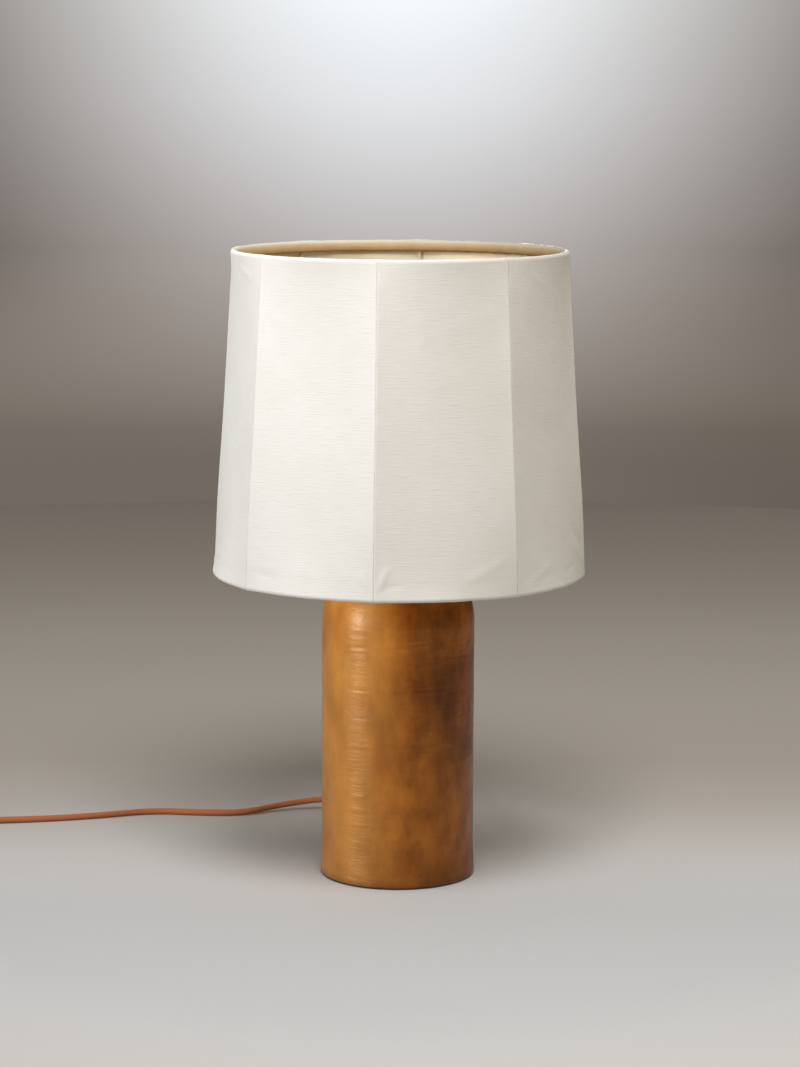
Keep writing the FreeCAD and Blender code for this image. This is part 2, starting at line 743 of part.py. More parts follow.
def make_shade():
    top_ring = torus(top_ring_radius, top_ring_level, ring_wire)
    bottom_ring = torus(bottom_ring_radius, bottom_ring_level, ring_wire)
    save("top_ring", top_ring)
    save("bottom_ring", bottom_ring)
    save("top_binding", binding(top_ring_radius, top_ring_level, True, top_inner_leg))
    save("bottom_binding", binding(bottom_ring_radius, bottom_ring_level, False, bottom_inner_leg))
    for k in range(panel_count):
        save("rib_%d" % (k + 1), rib(k).cut(top_ring).cut(bottom_ring))
        save("panel_%d" % (k + 1), panel(k))
    hub = tube(hub_bottom, hub_top, hub_radius, hub_bore)
    hub_body = tube(hub_bottom, hub_top, hub_radius)
    save("spider_arms", *[spider_arm(k).cut(hub_body) for k in spider_ribs])
    save("spider_hub", hub)


# ---------------------------------------------------------------- lead and plug

def make_strain_relief():
    back = V(0, 1, 0)
    exit_at = V(0, 0, cord_exit_level)
    flange_from = core_radius
    flange_to = column_radius + relief_flange_thick
    collar = Part.makeCylinder(relief_flange, flange_to - flange_from, exit_at + back * flange_from, back)
    taper = Part.makeCone(relief_root, relief_tip, relief_length, exit_at + back * flange_to, back)
    sleeve_from = core_bore - 1
    sleeve = Part.makeCylinder(relief_sleeve, flange_to - sleeve_from, exit_at + back * sleeve_from, back)
    body = collar.fuse(taper).cut(column_envelope()).fuse(sleeve)
    bore = Part.makeCylinder(cord_radius + relief_bore_slip, 2 * relief_end, exit_at, back)
    save("strain_relief", body.cut(bore).removeSplitter())


def coil_edges(start, heading):
    """Half turns to the right that shrink, one that climbs, and half turns that grow, then the tail to the plug."""
    ahead = V(heading[0], heading[1], 0).normalize()
    right = V(ahead.y, -ahead.x, 0)
    shrink = coil_pitch / 2
    radii = [coil_outer_radius - k * shrink for k in range(coil_inward_half_turns)]
    climb = len(radii)
    radii.append(radii[-1] - shrink)
    radii += [radii[-1] + (k + 1) * shrink for k in range(coil_outward_half_turns)]
    edges = []
    at = start
    for k, radius in enumerate(radii):
        side = 1 if k % 2 == 0 else -1
        lift = coil_pitch if k == climb else 0
        end = at + right * (side * 2 * radius) + UP * lift
        reach = (end - at).Length / 2
        edges.append(Part.Arc(at, (at + end) * 0.5 + ahead * (side * reach), end).toShape())
        at = end
    tail = [at] + [at + ahead * f + right * r - UP * (tail_drop * down) for f, r, down in tail_route]
    return edges, tail, ahead, right, radii


def least_gap(edges, diameter):
    """Smallest clear space between two stretches of one tube, measured on points along it."""
    wire = Part.Wire(edges)
    count = int(wire.Length / 3)
    points = wire.discretize(count)
    step = wire.Length / (count - 1)
    apart = int(3 * diameter / step)
    least = min((points[i] - points[j]).Length for i in range(count) for j in range(i + apart, count))
    return least - diameter


def make_cord():
    diameter = 2 * cord_radius
    leave = V(0, relief_end, cord_exit_level)
    inside = bent_path([leave, (0, 0, cord_exit_level), (0, 0, cord_top)], cord_rise_radius)
    save("internal_cord", swept(inside, cord_radius))
    route = [leave] + [V(*p) for p in cord_route]
    coil_start = route[-1]
    free = bent_path(route, report="free lead")
    save("cord_free", swept(free, cord_radius))
    edges, tail, ahead, right, radii = coil_edges(coil_start, route[-1] - route[-2])
    print("coil gap to itself %.2f" % least_gap(edges, diameter))
    whole = edges + bent_path(tail, report="tail")
    save("cord_coil", swept(whole, cord_radius))
    lead = Part.Wire(free).Length + Part.Wire(whole).Length
    print("lead from the bush to the plug %.0f, coil %.0f" % (lead, Part.Wire(edges).Length))
    make_tie(coil_start, ahead, right, radii)
    make_plug(tail)


def make_tie(start, ahead, right, radii):
    """A strap round the turns on the side across from where the lead comes in."""
    bulge = tie_width ** 2 / 8 / min(radii)
    far = 2 * radii[0]
    near = far - 2 * coil_pitch - bulge
    half = cord_radius + tie_slip
    low = coil_level - half
    high = coil_level + coil_pitch + half

    def block(grow):
        box = Part.makeBox(tie_width, far - near + 2 * (half + grow), high - low + 2 * grow,
                           V(-tie_width / 2, near - half - grow, low - grow))
        long_edges = [e for e in box.Edges if abs(e.tangentAt(e.FirstParameter).x) > 0.9]
        return box.makeFillet(min(cord_radius, tie_corner) + grow, long_edges)

    strap = block(tie_wall).cut(block(0))
    turn = degrees(atan2(-right.x, right.y))
    strap.rotate(V(0, 0, 0), UP, turn)
    strap.translate(V(start.x, start.y, 0))
    save("coil_tie", strap)


def make_plug(tail):
    """A two-blade plug that lies flat at the end of the tail."""
    end = tail[-1]
    ahead = (tail[-1] - tail[-2]).normalize()
    turn = degrees(atan2(ahead.y, ahead.x))
    level = plug_thick / 2 + plug_floor_gap

    def place(shape):
        shape.rotate(V(0, 0, 0), UP, turn)
        shape.translate(V(end.x, end.y, level) + ahead * plug_gap)
        return shape

    body_from = plug_neck_length
    body = Part.makeBox(plug_length - body_from, plug_width, plug_thick, V(body_from, -plug_width / 2, -plug_thick / 2))
    body = body.makeFillet(plug_corner, [e for e in body.Edges if abs(e.tangentAt(e.FirstParameter).x) > 0.9])
    collar = Part.makeCone(plug_neck_radius, plug_neck_radius + plug_neck_flare, body_from + 1, V(0, 0, 0), V(1, 0, 0))
    body = body.fuse(collar).removeSplitter()
    blades = []
    for side in (-1, 1):
        place_y = side * blade_spacing / 2 - blade_thick / 2
        blade = Part.makeBox(blade_length + blade_root, blade_thick, blade_width,
                             V(plug_length - blade_root, place_y, -blade_width / 2))
        tips = [e for e in blade.Edges if abs(e.BoundBox.XMin - plug_length - blade_length) < 1e-6
                and abs(e.tangentAt(e.FirstParameter).y) > 0.9]
        blade = blade.makeChamfer(blade_chamfer, tips)
        blades.append(blade)
        body = body.cut(Part.makeBox(blade_root + 1, blade_thick, blade_width,
                                     V(plug_length - blade_root, place_y, -blade_width / 2)))
    save("plug_body", place(body))
    save("plug_blades", *[place(blade) for blade in blades])


os.makedirs("parts", exist_ok=True)
make_column()
make_pipe()
make_saddle()
make_harp()
make_holder()
make_switch()
make_bulb()
make_shade()
make_strain_relief()
make_cord()
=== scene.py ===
# Column table lamp: a leather-covered column, a panelled cloth shade on a harp, and a textile lead.
# Metres, +Z up. The lamp is seen from -Y, and its lead leaves at the back.
from math import atan2, cos, degrees, exp, hypot, pi, radians, sin, sqrt

import bmesh
import bpy
import numpy as np
from mathutils import Matrix, Vector, noise


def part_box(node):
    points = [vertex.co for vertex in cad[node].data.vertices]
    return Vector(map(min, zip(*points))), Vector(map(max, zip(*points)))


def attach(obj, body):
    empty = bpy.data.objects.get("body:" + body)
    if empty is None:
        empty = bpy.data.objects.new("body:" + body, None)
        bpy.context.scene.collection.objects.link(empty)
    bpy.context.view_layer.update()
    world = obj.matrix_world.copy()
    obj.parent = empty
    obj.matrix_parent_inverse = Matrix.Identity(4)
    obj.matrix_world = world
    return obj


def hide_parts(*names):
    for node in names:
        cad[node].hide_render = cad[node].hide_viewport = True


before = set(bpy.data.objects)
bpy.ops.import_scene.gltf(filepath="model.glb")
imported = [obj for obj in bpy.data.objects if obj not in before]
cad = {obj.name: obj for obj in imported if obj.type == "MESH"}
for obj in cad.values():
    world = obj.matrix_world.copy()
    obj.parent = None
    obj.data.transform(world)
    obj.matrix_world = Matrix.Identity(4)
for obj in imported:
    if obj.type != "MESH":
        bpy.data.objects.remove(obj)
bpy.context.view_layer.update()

# ------------ foot
# A cast-iron disc is screwed up into the core's wall, and a disc of dark wool felt is
# glued under it, so that the lamp stands steady and doesn't scratch a table.


def linear(red, green, blue):
    """A colour as it is seen, 0 to 255, as the shader's linear values."""
    return tuple(((c / 255 + 0.055) / 1.055) ** 2.4 if c > 10 else c / 3295 for c in (red, green, blue)) + (1,)


def feed(target, values):
    """Links sockets to a node's inputs, or sets plain values there, by name or number."""
    for socket, value in values.items():
        if isinstance(value, bpy.types.NodeSocket):
            target.id_data.links.new(value, target.inputs[socket])
        else:
            target.inputs[socket].default_value = value


def tree_of(*values):
    """The node tree of the sockets among these values."""
    return next(value.id_data for value in values if isinstance(value, bpy.types.NodeSocket))


def node(tree, kind, values=None, **settings):
    """Adds one shader or geometry node, with its settings and what goes into its inputs."""
    made = tree.nodes.new(kind)
    for key, value in settings.items():
        setattr(made, key, value)
    feed(made, values or {})
    return made


def blend_colours(share, first, second, how="MIX"):
    """Mixes two colours, plain ones or sockets, by a share."""
    mix = node(tree_of(share, first, second), "ShaderNodeMix", data_type="RGBA", blend_type=how)
    feed(mix, {0: share, 6: first, 7: second})
    return mix.outputs[2]


def spread(value, low, high, to_low=0.0, to_high=1.0):
    """Stretches a value from one range to another."""
    return node(value.id_data, "ShaderNodeMapRange", {
        "Value": value, "From Min": low, "From Max": high, "To Min": to_low, "To Max": to_high}).outputs[0]


def maths(how, first, second=0.0):
    made = node(tree_of(first, second), "ShaderNodeMath", operation=how)
    feed(made, {0: first, 1: second})
    return made.outputs[0]


def times(first, second):
    return maths("MULTIPLY", first, second)


def noise_of(place, scale, detail, **more):
    values = {"Vector": place, "Scale": scale, "Detail": detail, **more}
    return node(place.id_data, "ShaderNodeTexNoise", values).outputs[0]


def stretched(place, scale):
    return node(place.id_data, "ShaderNodeMapping", {"Vector": place, "Scale": scale}).outputs[0]


def parts_of(place):
    return tuple(node(place.id_data, "ShaderNodeSeparateXYZ", {"Vector": place}).outputs)


def own_place(tree):
    return node(tree, "ShaderNodeTexCoord").outputs["Object"]


def uv_place(tree):
    return node(tree, "ShaderNodeTexCoord").outputs["UV"]


def relief(height, strength, distance, **more):
    """A normal that follows a height, over another normal if one is given."""
    values = {"Height": height, "Strength": strength, "Distance": distance, **more}
    return node(height.id_data, "ShaderNodeBump", values).outputs[0]


def colour_ramp(share, stops):
    """Colours along a share, from (stop, colour) pairs in rising order."""
    made = node(share.id_data, "ShaderNodeValToRGB", {"Fac": share})
    elements = made.color_ramp.elements
    for element, (stop, tone) in zip(tuple(elements), (stops[0], stops[-1])):
        element.position, element.color = stop, tone
    for stop, tone in stops[1:-1]:
        elements.new(stop).color = tone
    return made.outputs[0]


def own_group(name, numbers, results):
    """A shader node group with a vector and named numbers or colours going in, and named results."""
    tree = bpy.data.node_groups.new(name, "ShaderNodeTree")
    tree.interface.new_socket("Vector", in_out="INPUT", socket_type="NodeSocketVector")
    for key, value in numbers.items():
        kind = "NodeSocketColor" if isinstance(value, tuple) else "NodeSocketFloat"
        tree.interface.new_socket(key, in_out="INPUT", socket_type=kind).default_value = value
    for key, kind in results.items():
        tree.interface.new_socket(key, in_out="OUTPUT", socket_type="NodeSocket" + kind)
    return tree, tree.nodes.new("NodeGroupInput").outputs, tree.nodes.new("NodeGroupOutput")


def use_group(group, values):
    made = node(values["Vector"].id_data, "ShaderNodeGroup", node_tree=group)
    feed(made, values)
    return made.outputs


def new_finish(name, colour, roughness, metallic=0.0):
    """An empty node material, its tree and its Principled shader, for a section to build up."""
    made = bpy.data.materials.new(name)
    made.use_nodes = True
    shader = made.node_tree.nodes["Principled BSDF"]
    feed(shader, {"Base Color": linear(*colour), "Roughness": roughness, "Metallic": metallic})
    return made, made.node_tree, shader


def uneven(tree, scale, contrast, detail=4.0, place=None):
    """The uneven tone of a surface, at its own place unless another is given."""
    return use_group(mottle, {"Vector": own_place(tree) if place is None else place, "Scale": scale,
                                    "Detail": detail, "Contrast": contrast})["Value"]


def mottled_finish(name, colour, roughness, scale, contrast, dark, pale, metallic=0.0):
    """A finish that wanders between a dark and a pale tone."""
    made, tree, shader = new_finish(name, colour, roughness, metallic)
    tone = uneven(tree, scale, contrast)
    feed(shader, {"Base Color": blend_colours(tone, linear(*dark), linear(*pale))})
    return made, tree, shader, tone


def paint(finish, *names):
    """Gives CAD pieces that keep their shape a finish."""
    for name in names:
        cad[name].data.materials.clear()
        cad[name].data.materials.append(finish)


def wander(x, y, z):
    """Smooth noise between -1 and 1."""
    return noise.noise(Vector((x, y, z)))


def placed(name, data):
    """A new object in the scene."""
    made = bpy.data.objects.new(name, data)
    bpy.context.scene.collection.objects.link(made)
    return made


def piece(name, points, faces, finishes, body, stands_for=(), flat_faces=(), face_finish=None, uv=None):
    """A mesh at its place in the lamp, with its finishes and body, which hides the CAD pieces that it replaces."""
    mesh = bpy.data.meshes.new(name)
    mesh.from_pydata([tuple(p) for p in points], [], [tuple(f) for f in faces])
    for finish in finishes:
        mesh.materials.append(finish)
    if face_finish is not None:
        mesh.polygons.foreach_set("material_index", np.array(face_finish, np.int32))
    if uv is not None:
        layer = mesh.uv_layers.new(name="UVMap")
        corner = np.zeros(len(mesh.loops), np.int32)
        mesh.loops.foreach_get("vertex_index", corner)
        layer.data.foreach_set("uv", np.array(uv, np.float32)[corner].ravel())
    mesh.validate()
    made = placed(name, mesh)
    smooth = np.ones(len(mesh.polygons), bool)
    smooth[list(flat_faces)] = False
    mesh.polygons.foreach_set("use_smooth", smooth)
    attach(made, body)
    if stands_for:
        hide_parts(*stands_for)
    return made


def turned_grid(section, count):
    """Faces of a section of so many points carried round in count steps, wound so that they point outwards
    when the section runs anticlockwise in (radius, height)."""
    faces = []
    for i in range(count):
        j = (i + 1) % count
        for k in range(section):
            m = (k + 1) % section
            faces.append((i * section + k, j * section + k, j * section + m, i * section + m))
    return faces


mottle, given, result = own_group("uneven tone", {"Scale": 60.0, "Detail": 4.0, "Contrast": 1.0}, {"Value": "Float"})
cloud = noise_of(given["Vector"], given["Scale"], given["Detail"], Roughness=0.6)
centred = maths("SUBTRACT", cloud, 0.5)
feed(result, {"Value": maths("ADD", times(centred, given["Contrast"]), 0.5)})

felt, tree, shader, _ = mottled_finish("wool felt", (52, 44, 38), 0.95, 140.0, 1.6, (40, 33, 28), (66, 57, 49))
hair = noise_of(own_place(tree), 1500.0, 5.0)
feed(shader, {"Normal": relief(hair, 0.6, 0.0004), "Sheen Weight": 0.35})

iron, tree, shader, _ = mottled_finish("cast iron", (58, 56, 54), 0.62, 90.0, 1.4, (46, 43, 41), (78, 74, 70), 0.6)
feed(shader, {"Normal": relief(noise_of(own_place(tree), 700.0, 3.0), 0.5, 0.0003)})

zinc, tree, shader, tone = mottled_finish("zinc-plated steel", (150, 150, 148), 0.36, 220.0, 1.2,
                                          (128, 128, 124), (176, 175, 170), 1.0)
feed(shader, {"Roughness": spread(tone, 0.2, 0.8, 0.28, 0.46)})
paint(iron, "base_weight")
paint(zinc, "base_screws", "pipe_nuts")

felt_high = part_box("felt_pad")[1]
felt_radius, felt_thick = felt_high.x, felt_high.z
felt_eye, felt_edge, steps = 0.0004, 0.0006, 96
section = [(felt_eye, 0.0), (felt_radius - felt_edge, 0.0), (felt_radius, felt_edge),
           (felt_radius - 0.0002, felt_thick), (felt_eye, felt_thick)]
points = []
for i in range(steps):
    turn = 2 * pi * i / steps
    fray = 1 + 0.004 * wander(cos(turn) * 9, sin(turn) * 9, 0.3)
    for radius, z in section:
        points.append((radius * fray * cos(turn), radius * fray * sin(turn), z))
felt_piece = piece("felt_pad_cloth", points, turned_grid(len(section), steps), [felt], "stand", ["felt_pad"])

# ------------ core
# The column's core is a rolled paperboard tube with a turned beech cap on top and a
# plywood bulkhead inside, which the threaded pipe is clamped to.
board = mottled_finish("rolled paperboard", (146, 112, 76), 0.85, 300.0, 1.5, (126, 95, 62), (163, 128, 90))[0]

beech, tree, shader = new_finish("turned beech", (186, 146, 98), 0.6)
grain = noise_of(stretched(own_place(tree), (9.0, 60.0, 60.0)), 8.0, 6.0, Distortion=0.4)
feed(shader, {"Base Color": blend_colours(grain, linear(160, 118, 74), linear(208, 170, 120))})
paint(board, "core_tube")
paint(beech, "bulkhead", "top_cap")

# ------------ leather column
# One hide wraps the core and is pulled over the shoulder, with its edges sewn together
# down the back, turned under at the foot, and trimmed round a sewn disc on the flat top.
column_radius, column_height = 0.073, 0.286
hide = 0.0016
hem_swell, hem_height, hem_fade, hem_corner, hem_clear = 0.0011, 0.008, 0.036, 0.0026, 0.001
shoulder_start, crown_radius, shoulder_tight = 0.246, 0.056, 0.010
seam_at = 180.0


def shoulder_line(count):
    """(radius, height) points of the rounded shoulder, from its start to the flat top."""
    run = column_radius - crown_radius
    rise = column_height - shoulder_start - shoulder_tight
    wide = (run ** 2 + rise ** 2 - shoulder_tight ** 2) / (2 * (run - shoulder_tight))
    share = atan2(rise, wide - run)
    made = []
    for k in range(1, count + 1):
        angle = share * k / count
        made.append((column_radius - wide + wide * cos(angle), shoulder_start + wide * sin(angle)))
    for k in range(1, count // 2 + 1):
        angle = share + (pi / 2 - share) * k / (count // 2)
        made.append((crown_radius + shoulder_tight * cos(angle),
                     column_height - shoulder_tight + shoulder_tight * sin(angle)))
    return made


def hide_line():
    """The hide's outline from the foot's turned-in edge to the trimmed edge at the top."""
    hem = column_radius + hem_swell
    made = [(column_radius - hide + 0.0003, hem_clear + 0.0002)]
    for k in range(7):
        angle = -pi / 2 + pi / 2 * k / 6
        made.append((hem - hem_corner + hem_corner * cos(angle), hem_clear + hem_corner + hem_corner * sin(angle)))
    z = made[-1][1]
    while z < shoulder_start - 0.0012:
        z += 0.0013
        fade = min(max((z - hem_height) / (hem_fade - hem_height), 0), 1)
        made.append((column_radius + hem_swell * (1 - fade * fade * (3 - 2 * fade)), z))
    return made + shoulder_line(30)


# Marks of the pulled and handled hide: degrees from straight ahead, then in millimetres the height, half
# length, half height, how far up to the right it runs, and how far it stands out or in
hide_marks = [(turn, *(size / 1000 for size in sizes)) for turn, *sizes in (
    (-28, 254.5, 20, 0.8, 0, 0.11), (-27, 251.2, 18, 0.7, 1, -0.09), (-26, 247.8, 21, 0.8, 0, 0.11),
    (-24, 244, 17, 0.7, 1, -0.09), (-30, 240.5, 16, 0.8, 0, 0.09), (-27, 236.8, 19, 0.7, 1, -0.08),
    (-14, 233, 52, 1.3, 4, -0.34), (-14, 230.3, 50, 1.2, 4, 0.26), (-4, 191.2, 74, 1.1, 1, -0.26),
    (-4, 188.8, 74, 1.4, 1, 0.14), (-41, 169.6, 6.5, 0.9, -2.4, -0.4), (-26, 164, 36, 1.2, 1, -0.18),
    (-2, 136.6, 70, 1.9, 1, 0.24), (-2, 133.2, 70, 1.4, 1, -0.2), (-30, 87.8, 10, 2.6, 1, 0.34),
    (2, 94.3, 1.6, 1.2, 0, -0.45), (-7, 76, 53, 2.2, 2, 0.26), (-7, 72.2, 50, 1.3, 2, -0.16),
    (-4, 61.4, 49, 1.1, 1, 0.22), (-2, 54.7, 2, 1.2, 0, -0.4), (48, 221, 30, 1.4, -2, -0.22),
    (58, 118, 26, 1.5, 3, 0.2), (120, 201, 40, 1.4, 2, -0.24), (135, 90, 36, 1.6, -3, 0.22),
    (-110, 150, 42, 1.5, 2, -0.22), (-125, 66, 30, 1.4, -1, 0.22), (-95, 225, 34, 1.2, 1, 0.2),
    (95, 150, 30, 1.3, -1, -0.2))]


def hide_relief(turn, z):
    """How far the hide stands off its even form at an angle in degrees and a height."""
    x, y = sin(radians(turn)) * column_radius, -cos(radians(turn)) * column_radius
    stand = 0.00028 * wander(x * 14, y * 14, z * 26)
    stand += 0.00016 * wander(x * 40 + 3, y * 40, z * 120)
    stand += 0.00007 * wander(x * 150, y * 150, z * 330 + 5)
    for mark_turn, mark_z, half_length, half_height, climb, out in hide_marks:
        away = (turn - mark_turn + 180) % 360 - 180
        if abs(away) > 80:
            continue
        along = radians(away) * column_radius / half_length
        if abs(along) > 1.25 or abs(z - mark_z) > 4 * half_height + abs(climb):
            continue
        wobble = 0.35 * half_height * wander(along * 3, mark_z * 900, 1.7)
        across = (z - mark_z - climb * along - wobble) / half_height
        ends = max(0.0, 1 - along * along) if abs(along) < 1 else 0.0
        stand += out * sqrt(ends) * exp(-across * across)
    seam = abs((turn - seam_at + 180) % 360 - 180)
    seam_far = radians(seam) * column_radius
    stand -= 0.0008 * exp(-(seam_far / 0.0006) ** 2)
    stand += 0.00025 * exp(-((seam_far - 0.0022) / 0.0016) ** 2)
    hem_line = z - hem_height - 0.0011
    return stand - 0.00030 * exp(-(hem_line / 0.0008) ** 2)


outline = hide_line()
around, inside_rows = 300, 14
levels = len(outline)


def leaning(k):
    """The outward direction of the hide's outline at one of its points, and how far the point before is."""
    before, after = outline[max(k - 1, 0)], outline[min(k + 1, levels - 1)]
    across, up = after[1] - before[1], before[0] - after[0]
    size = hypot(across, up)
    return across / size, up / size, hypot(outline[k][0] - before[0], outline[k][1] - before[1])


points, uv = [], []
for i in range(around):
    turn = 360.0 * i / around - 180.0
    sine, cosine = sin(radians(turn)), cos(radians(turn))
    length = 0.0
    for k, (radius, z) in enumerate(outline):
        across, up, step = leaning(k)
        length += step
        stand = 0.0 if k == 0 or k > levels - 3 else hide_relief(turn, z)
        radius += stand * across
        points.append((radius * sine, -radius * cosine, z + stand * up))
        uv.append(((turn + 180) / 360, length))
    for back in range(inside_rows):
        k = levels - 1 - round(back / (inside_rows - 1) * (levels - 2))
        across, up, _ = leaning(k)
        radius = min(outline[k][0] - (hide - 0.0001) * across, column_radius - hide)
        z = outline[k][1] - (hide - 0.0001) * up
        points.append((radius * sine, -radius * cosine, max(z, hem_clear)))
        uv.append(((turn + 180) / 360, outline[k][1]))
faces = turned_grid(levels + inside_rows, around)

pebbled, given, result = own_group("leather grain", {"Scale": 900.0}, {"Height": "Float", "Pores": "Float"})
pebble = node(pebbled, "ShaderNodeTexVoronoi", {"Vector": given["Vector"], "Scale": given["Scale"]},
              feature="DISTANCE_TO_EDGE")
cracks = spread(pebble.outputs["Distance"], 0.0, 0.16)
rough = noise_of(given["Vector"], times(given["Scale"], 0.6), 5.0)
feed(result, {"Height": maths("ADD", times(cracks, 0.5), times(rough, 0.5)), "Pores": cracks})

leather, tree, shader = new_finish("waxed caramel leather", (150, 86, 30), 0.40)
place = own_place(tree)
tall = stretched(place, (1.0, 1.0, 0.6))
patches, clouds = uneven(tree, 15.0, 3.2, 6.0, tall), uneven(tree, 42.0, 2.0, 5.0, tall)
creases = uneven(tree, 330.0, 1.6, 5.0, stretched(place, (0.16, 0.16, 1.0)))
stains = uneven(tree, 31.0, 2.6, 6.0, tall)
grained = use_group(pebbled, {"Vector": place, "Scale": 820.0})
side, _, up = parts_of(place)
# Darker on the right side and more so higher up: partly patina of the hide, partly painted shade on the side away from
# the light.
aged_and_shaded = times(spread(side, -0.004, 0.046), spread(up, 0.02, 0.20, 0.55, 1.0))
# A multiplier by height, darker towards the foot and brighter than the hide's own colour at the top: painted shade low
# down and painted light at the top, with some wear.
shifted_tone = colour_ramp(spread(up, 0.0, column_height), (
    (0.0, (0.60, 0.585, 0.54, 1)), (0.30, (0.71, 0.69, 0.65, 1)), (0.62, (0.83, 0.82, 0.80, 1)),
    (0.84, (0.97, 0.97, 0.96, 1)), (1.0, (1.22, 1.20, 1.14, 1))))
stained = colour_ramp(stains, (
    (0.12, (0.88, 0.82, 0.76, 1)), (0.45, (1.0, 1.0, 0.98, 1)), (0.9, (1.10, 1.13, 1.13, 1))))
colour = blend_colours(patches, linear(150, 74, 12), linear(204, 124, 40))
for share, tone, how in (
        (spread(clouds, 0.35, 0.95, 0.0, 0.60), linear(96, 44, 8), "MIX"),
        (spread(clouds, 0.30, 0.02, 0.0, 0.45), linear(190, 128, 58), "MIX"),
        (spread(creases, 0.60, 0.92, 0.0, 0.22), linear(196, 140, 72), "MIX"),
        (spread(grained["Pores"], 0.0, 1.0, 0.14, 0.0), linear(72, 34, 8), "MIX"),
        (times(aged_and_shaded, spread(clouds, 0.2, 0.8, 0.40, 0.70)), linear(82, 41, 8), "MIX"),
        # Lighter towards the left, the side the light comes from: painted light.
        (spread(side, 0.010, -0.026, 0.0, 0.55), linear(210, 150, 72), "MIX"),
        (1.0, shifted_tone, "MULTIPLY"),
        (spread(side, -0.060, -0.073, 0.0, 0.35), linear(120, 70, 24), "MIX"),
        (1.0, stained, "MULTIPLY"),
        # A thin darker band at the very foot: painted shade where the hide meets the surface it stands on.
        (spread(up, 0.002, 0.010, 0.45, 0.0), linear(72, 36, 12), "MIX")):
    colour = blend_colours(share, colour, tone, how)
fine = relief(grained["Height"], 0.25, 0.0002)
feed(shader, {"Base Color": colour, "Roughness": spread(clouds, 0.2, 0.8, 0.28, 0.38),
              "Normal": relief(creases, 0.32, 0.0007, Normal=fine), "Specular IOR Level": 0.38,
              "Specular Tint": linear(255, 232, 200), "Coat Weight": 0.05, "Coat Roughness": 0.30})
flesh = mottled_finish("leather's flesh side", (150, 116, 80), 0.9, 260.0, 1.6, (128, 94, 60), (170, 136, 98))[0]

inside = [1 if k >= levels - 1 else 0 for _ in range(around) for k in range(levels + inside_rows)]
hide_piece = piece("leather_column", points, faces, [leather, flesh], "stand", ["leather_wrap"],
                   face_finish=inside, uv=uv)

disc_top, disc_radius = column_height, crown_radius - 0.0001
pipe_hole, stitch_inset = 0.00505, 0.0045
section = [(pipe_hole, disc_top - hide)]
section += [(disc_radius, disc_top - hide), (disc_radius, disc_top - 0.0006), (disc_radius - 0.0006, disc_top - 0.0001)]
section += [(disc_radius - 0.0006 - (disc_radius - 0.0012 - pipe_hole) * k / 24, disc_top) for k in range(1, 25)]
section += [(pipe_hole, disc_top - 0.0002)]
steps = 144
points = []
for i in range(steps):
    turn = 2 * pi * i / steps
    for k, (radius, z) in enumerate(section):
        x, y = radius * cos(turn), radius * sin(turn)
        lift = 0.0
        if 3 < k < len(section) - 1:
            lift = 0.00018 * wander(x * 60, y * 60, 4.0)
            lift -= 0.0003 * exp(-((radius - disc_radius + stitch_inset) / 0.0008) ** 2)
        points.append((x, y, z + min(lift, 0.0) if k > 2 else z))
piece("leather_crown_disc", points, turned_grid(len(section), steps), [leather], "stand", ["leather_top"])

thread, tree, shader = new_finish("waxed linen thread", (196, 158, 104), 0.55)
ply = node(tree, "ShaderNodeTexWave", {"Vector": own_place(tree), "Scale": 900.0, "Distortion": 1.0},
           bands_direction="DIAGONAL")
feed(shader, {"Base Color": blend_colours(ply.outputs["Fac"], linear(170, 130, 80), linear(214, 180, 128))})

stitches = bpy.data.node_groups.new("row of stitches", "GeometryNodeTree")
for key, kind, default in (("Geometry", "Geometry", None), ("Spacing", "Float", 0.005), ("Length", "Float", 0.003),
                           ("Thread radius", "Float", 0.0004), ("Thread", "Material", None)):
    made = stitches.interface.new_socket(key, in_out="INPUT", socket_type="NodeSocket" + kind)
    if default is not None:
        made.default_value = default
stitches.interface.new_socket("Geometry", in_out="OUTPUT", socket_type="NodeSocketGeometry")
given = stitches.nodes.new("NodeGroupInput").outputs
line = node(stitches, "GeometryNodeMeshToCurve", {"Mesh": given["Geometry"]}).outputs[0]
spots = node(stitches, "GeometryNodeCurveToPoints", {"Curve": line, "Length": given["Spacing"]}, mode="LENGTH")
ball = node(stitches, "GeometryNodeMeshUVSphere", {"Segments": 8, "Rings": 6, "Radius": 1.0}).outputs[0]
scale = node(stitches, "ShaderNodeCombineXYZ", {"X": given["Thread radius"], "Y": given["Thread radius"],
             "Z": times(given["Length"], 0.5)}).outputs[0]
sewn = node(stitches, "GeometryNodeInstanceOnPoints", {
    "Points": spots.outputs["Points"], "Instance": ball, "Rotation": spots.outputs["Rotation"],
    "Scale": scale}).outputs[0]
sewn = node(stitches, "GeometryNodeRealizeInstances", {"Geometry": sewn}).outputs[0]
sewn = node(stitches, "GeometryNodeSetMaterial", {"Geometry": sewn, "Material": given["Thread"]}).outputs[0]
node(stitches, "NodeGroupOutput", {"Geometry": sewn})


def sew(name, lines):
    """Lays linen stitches along open or closed lines of points, as one plain mesh."""
    points, edges = [], []
    for line in lines:
        edges += [(len(points) + k, len(points) + k + 1) for k in range(len(line) - 1)]
        points += [tuple(p) for p in line]
    mesh = bpy.data.meshes.new(name)
    mesh.from_pydata(points, edges, [])
    made = placed(name, mesh)
    modifier = made.modifiers.new("stitches", "NODES")
    modifier.node_group = stitches
    wanted = {"Spacing": 0.0052, "Length": 0.0038, "Thread radius": 0.00042, "Thread": thread}
    for item in stitches.interface.items_tree:
        if item.in_out == "INPUT" and item.name in wanted:
            modifier[item.identifier] = wanted[item.name]
    bpy.context.view_layer.update()
    plain = bpy.data.meshes.new_from_object(made.evaluated_get(bpy.context.evaluated_depsgraph_get()))
    made.modifiers.clear()
    made.data = plain
    plain.polygons.foreach_set("use_smooth", [True] * len(plain.polygons))
    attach(made, "stand")


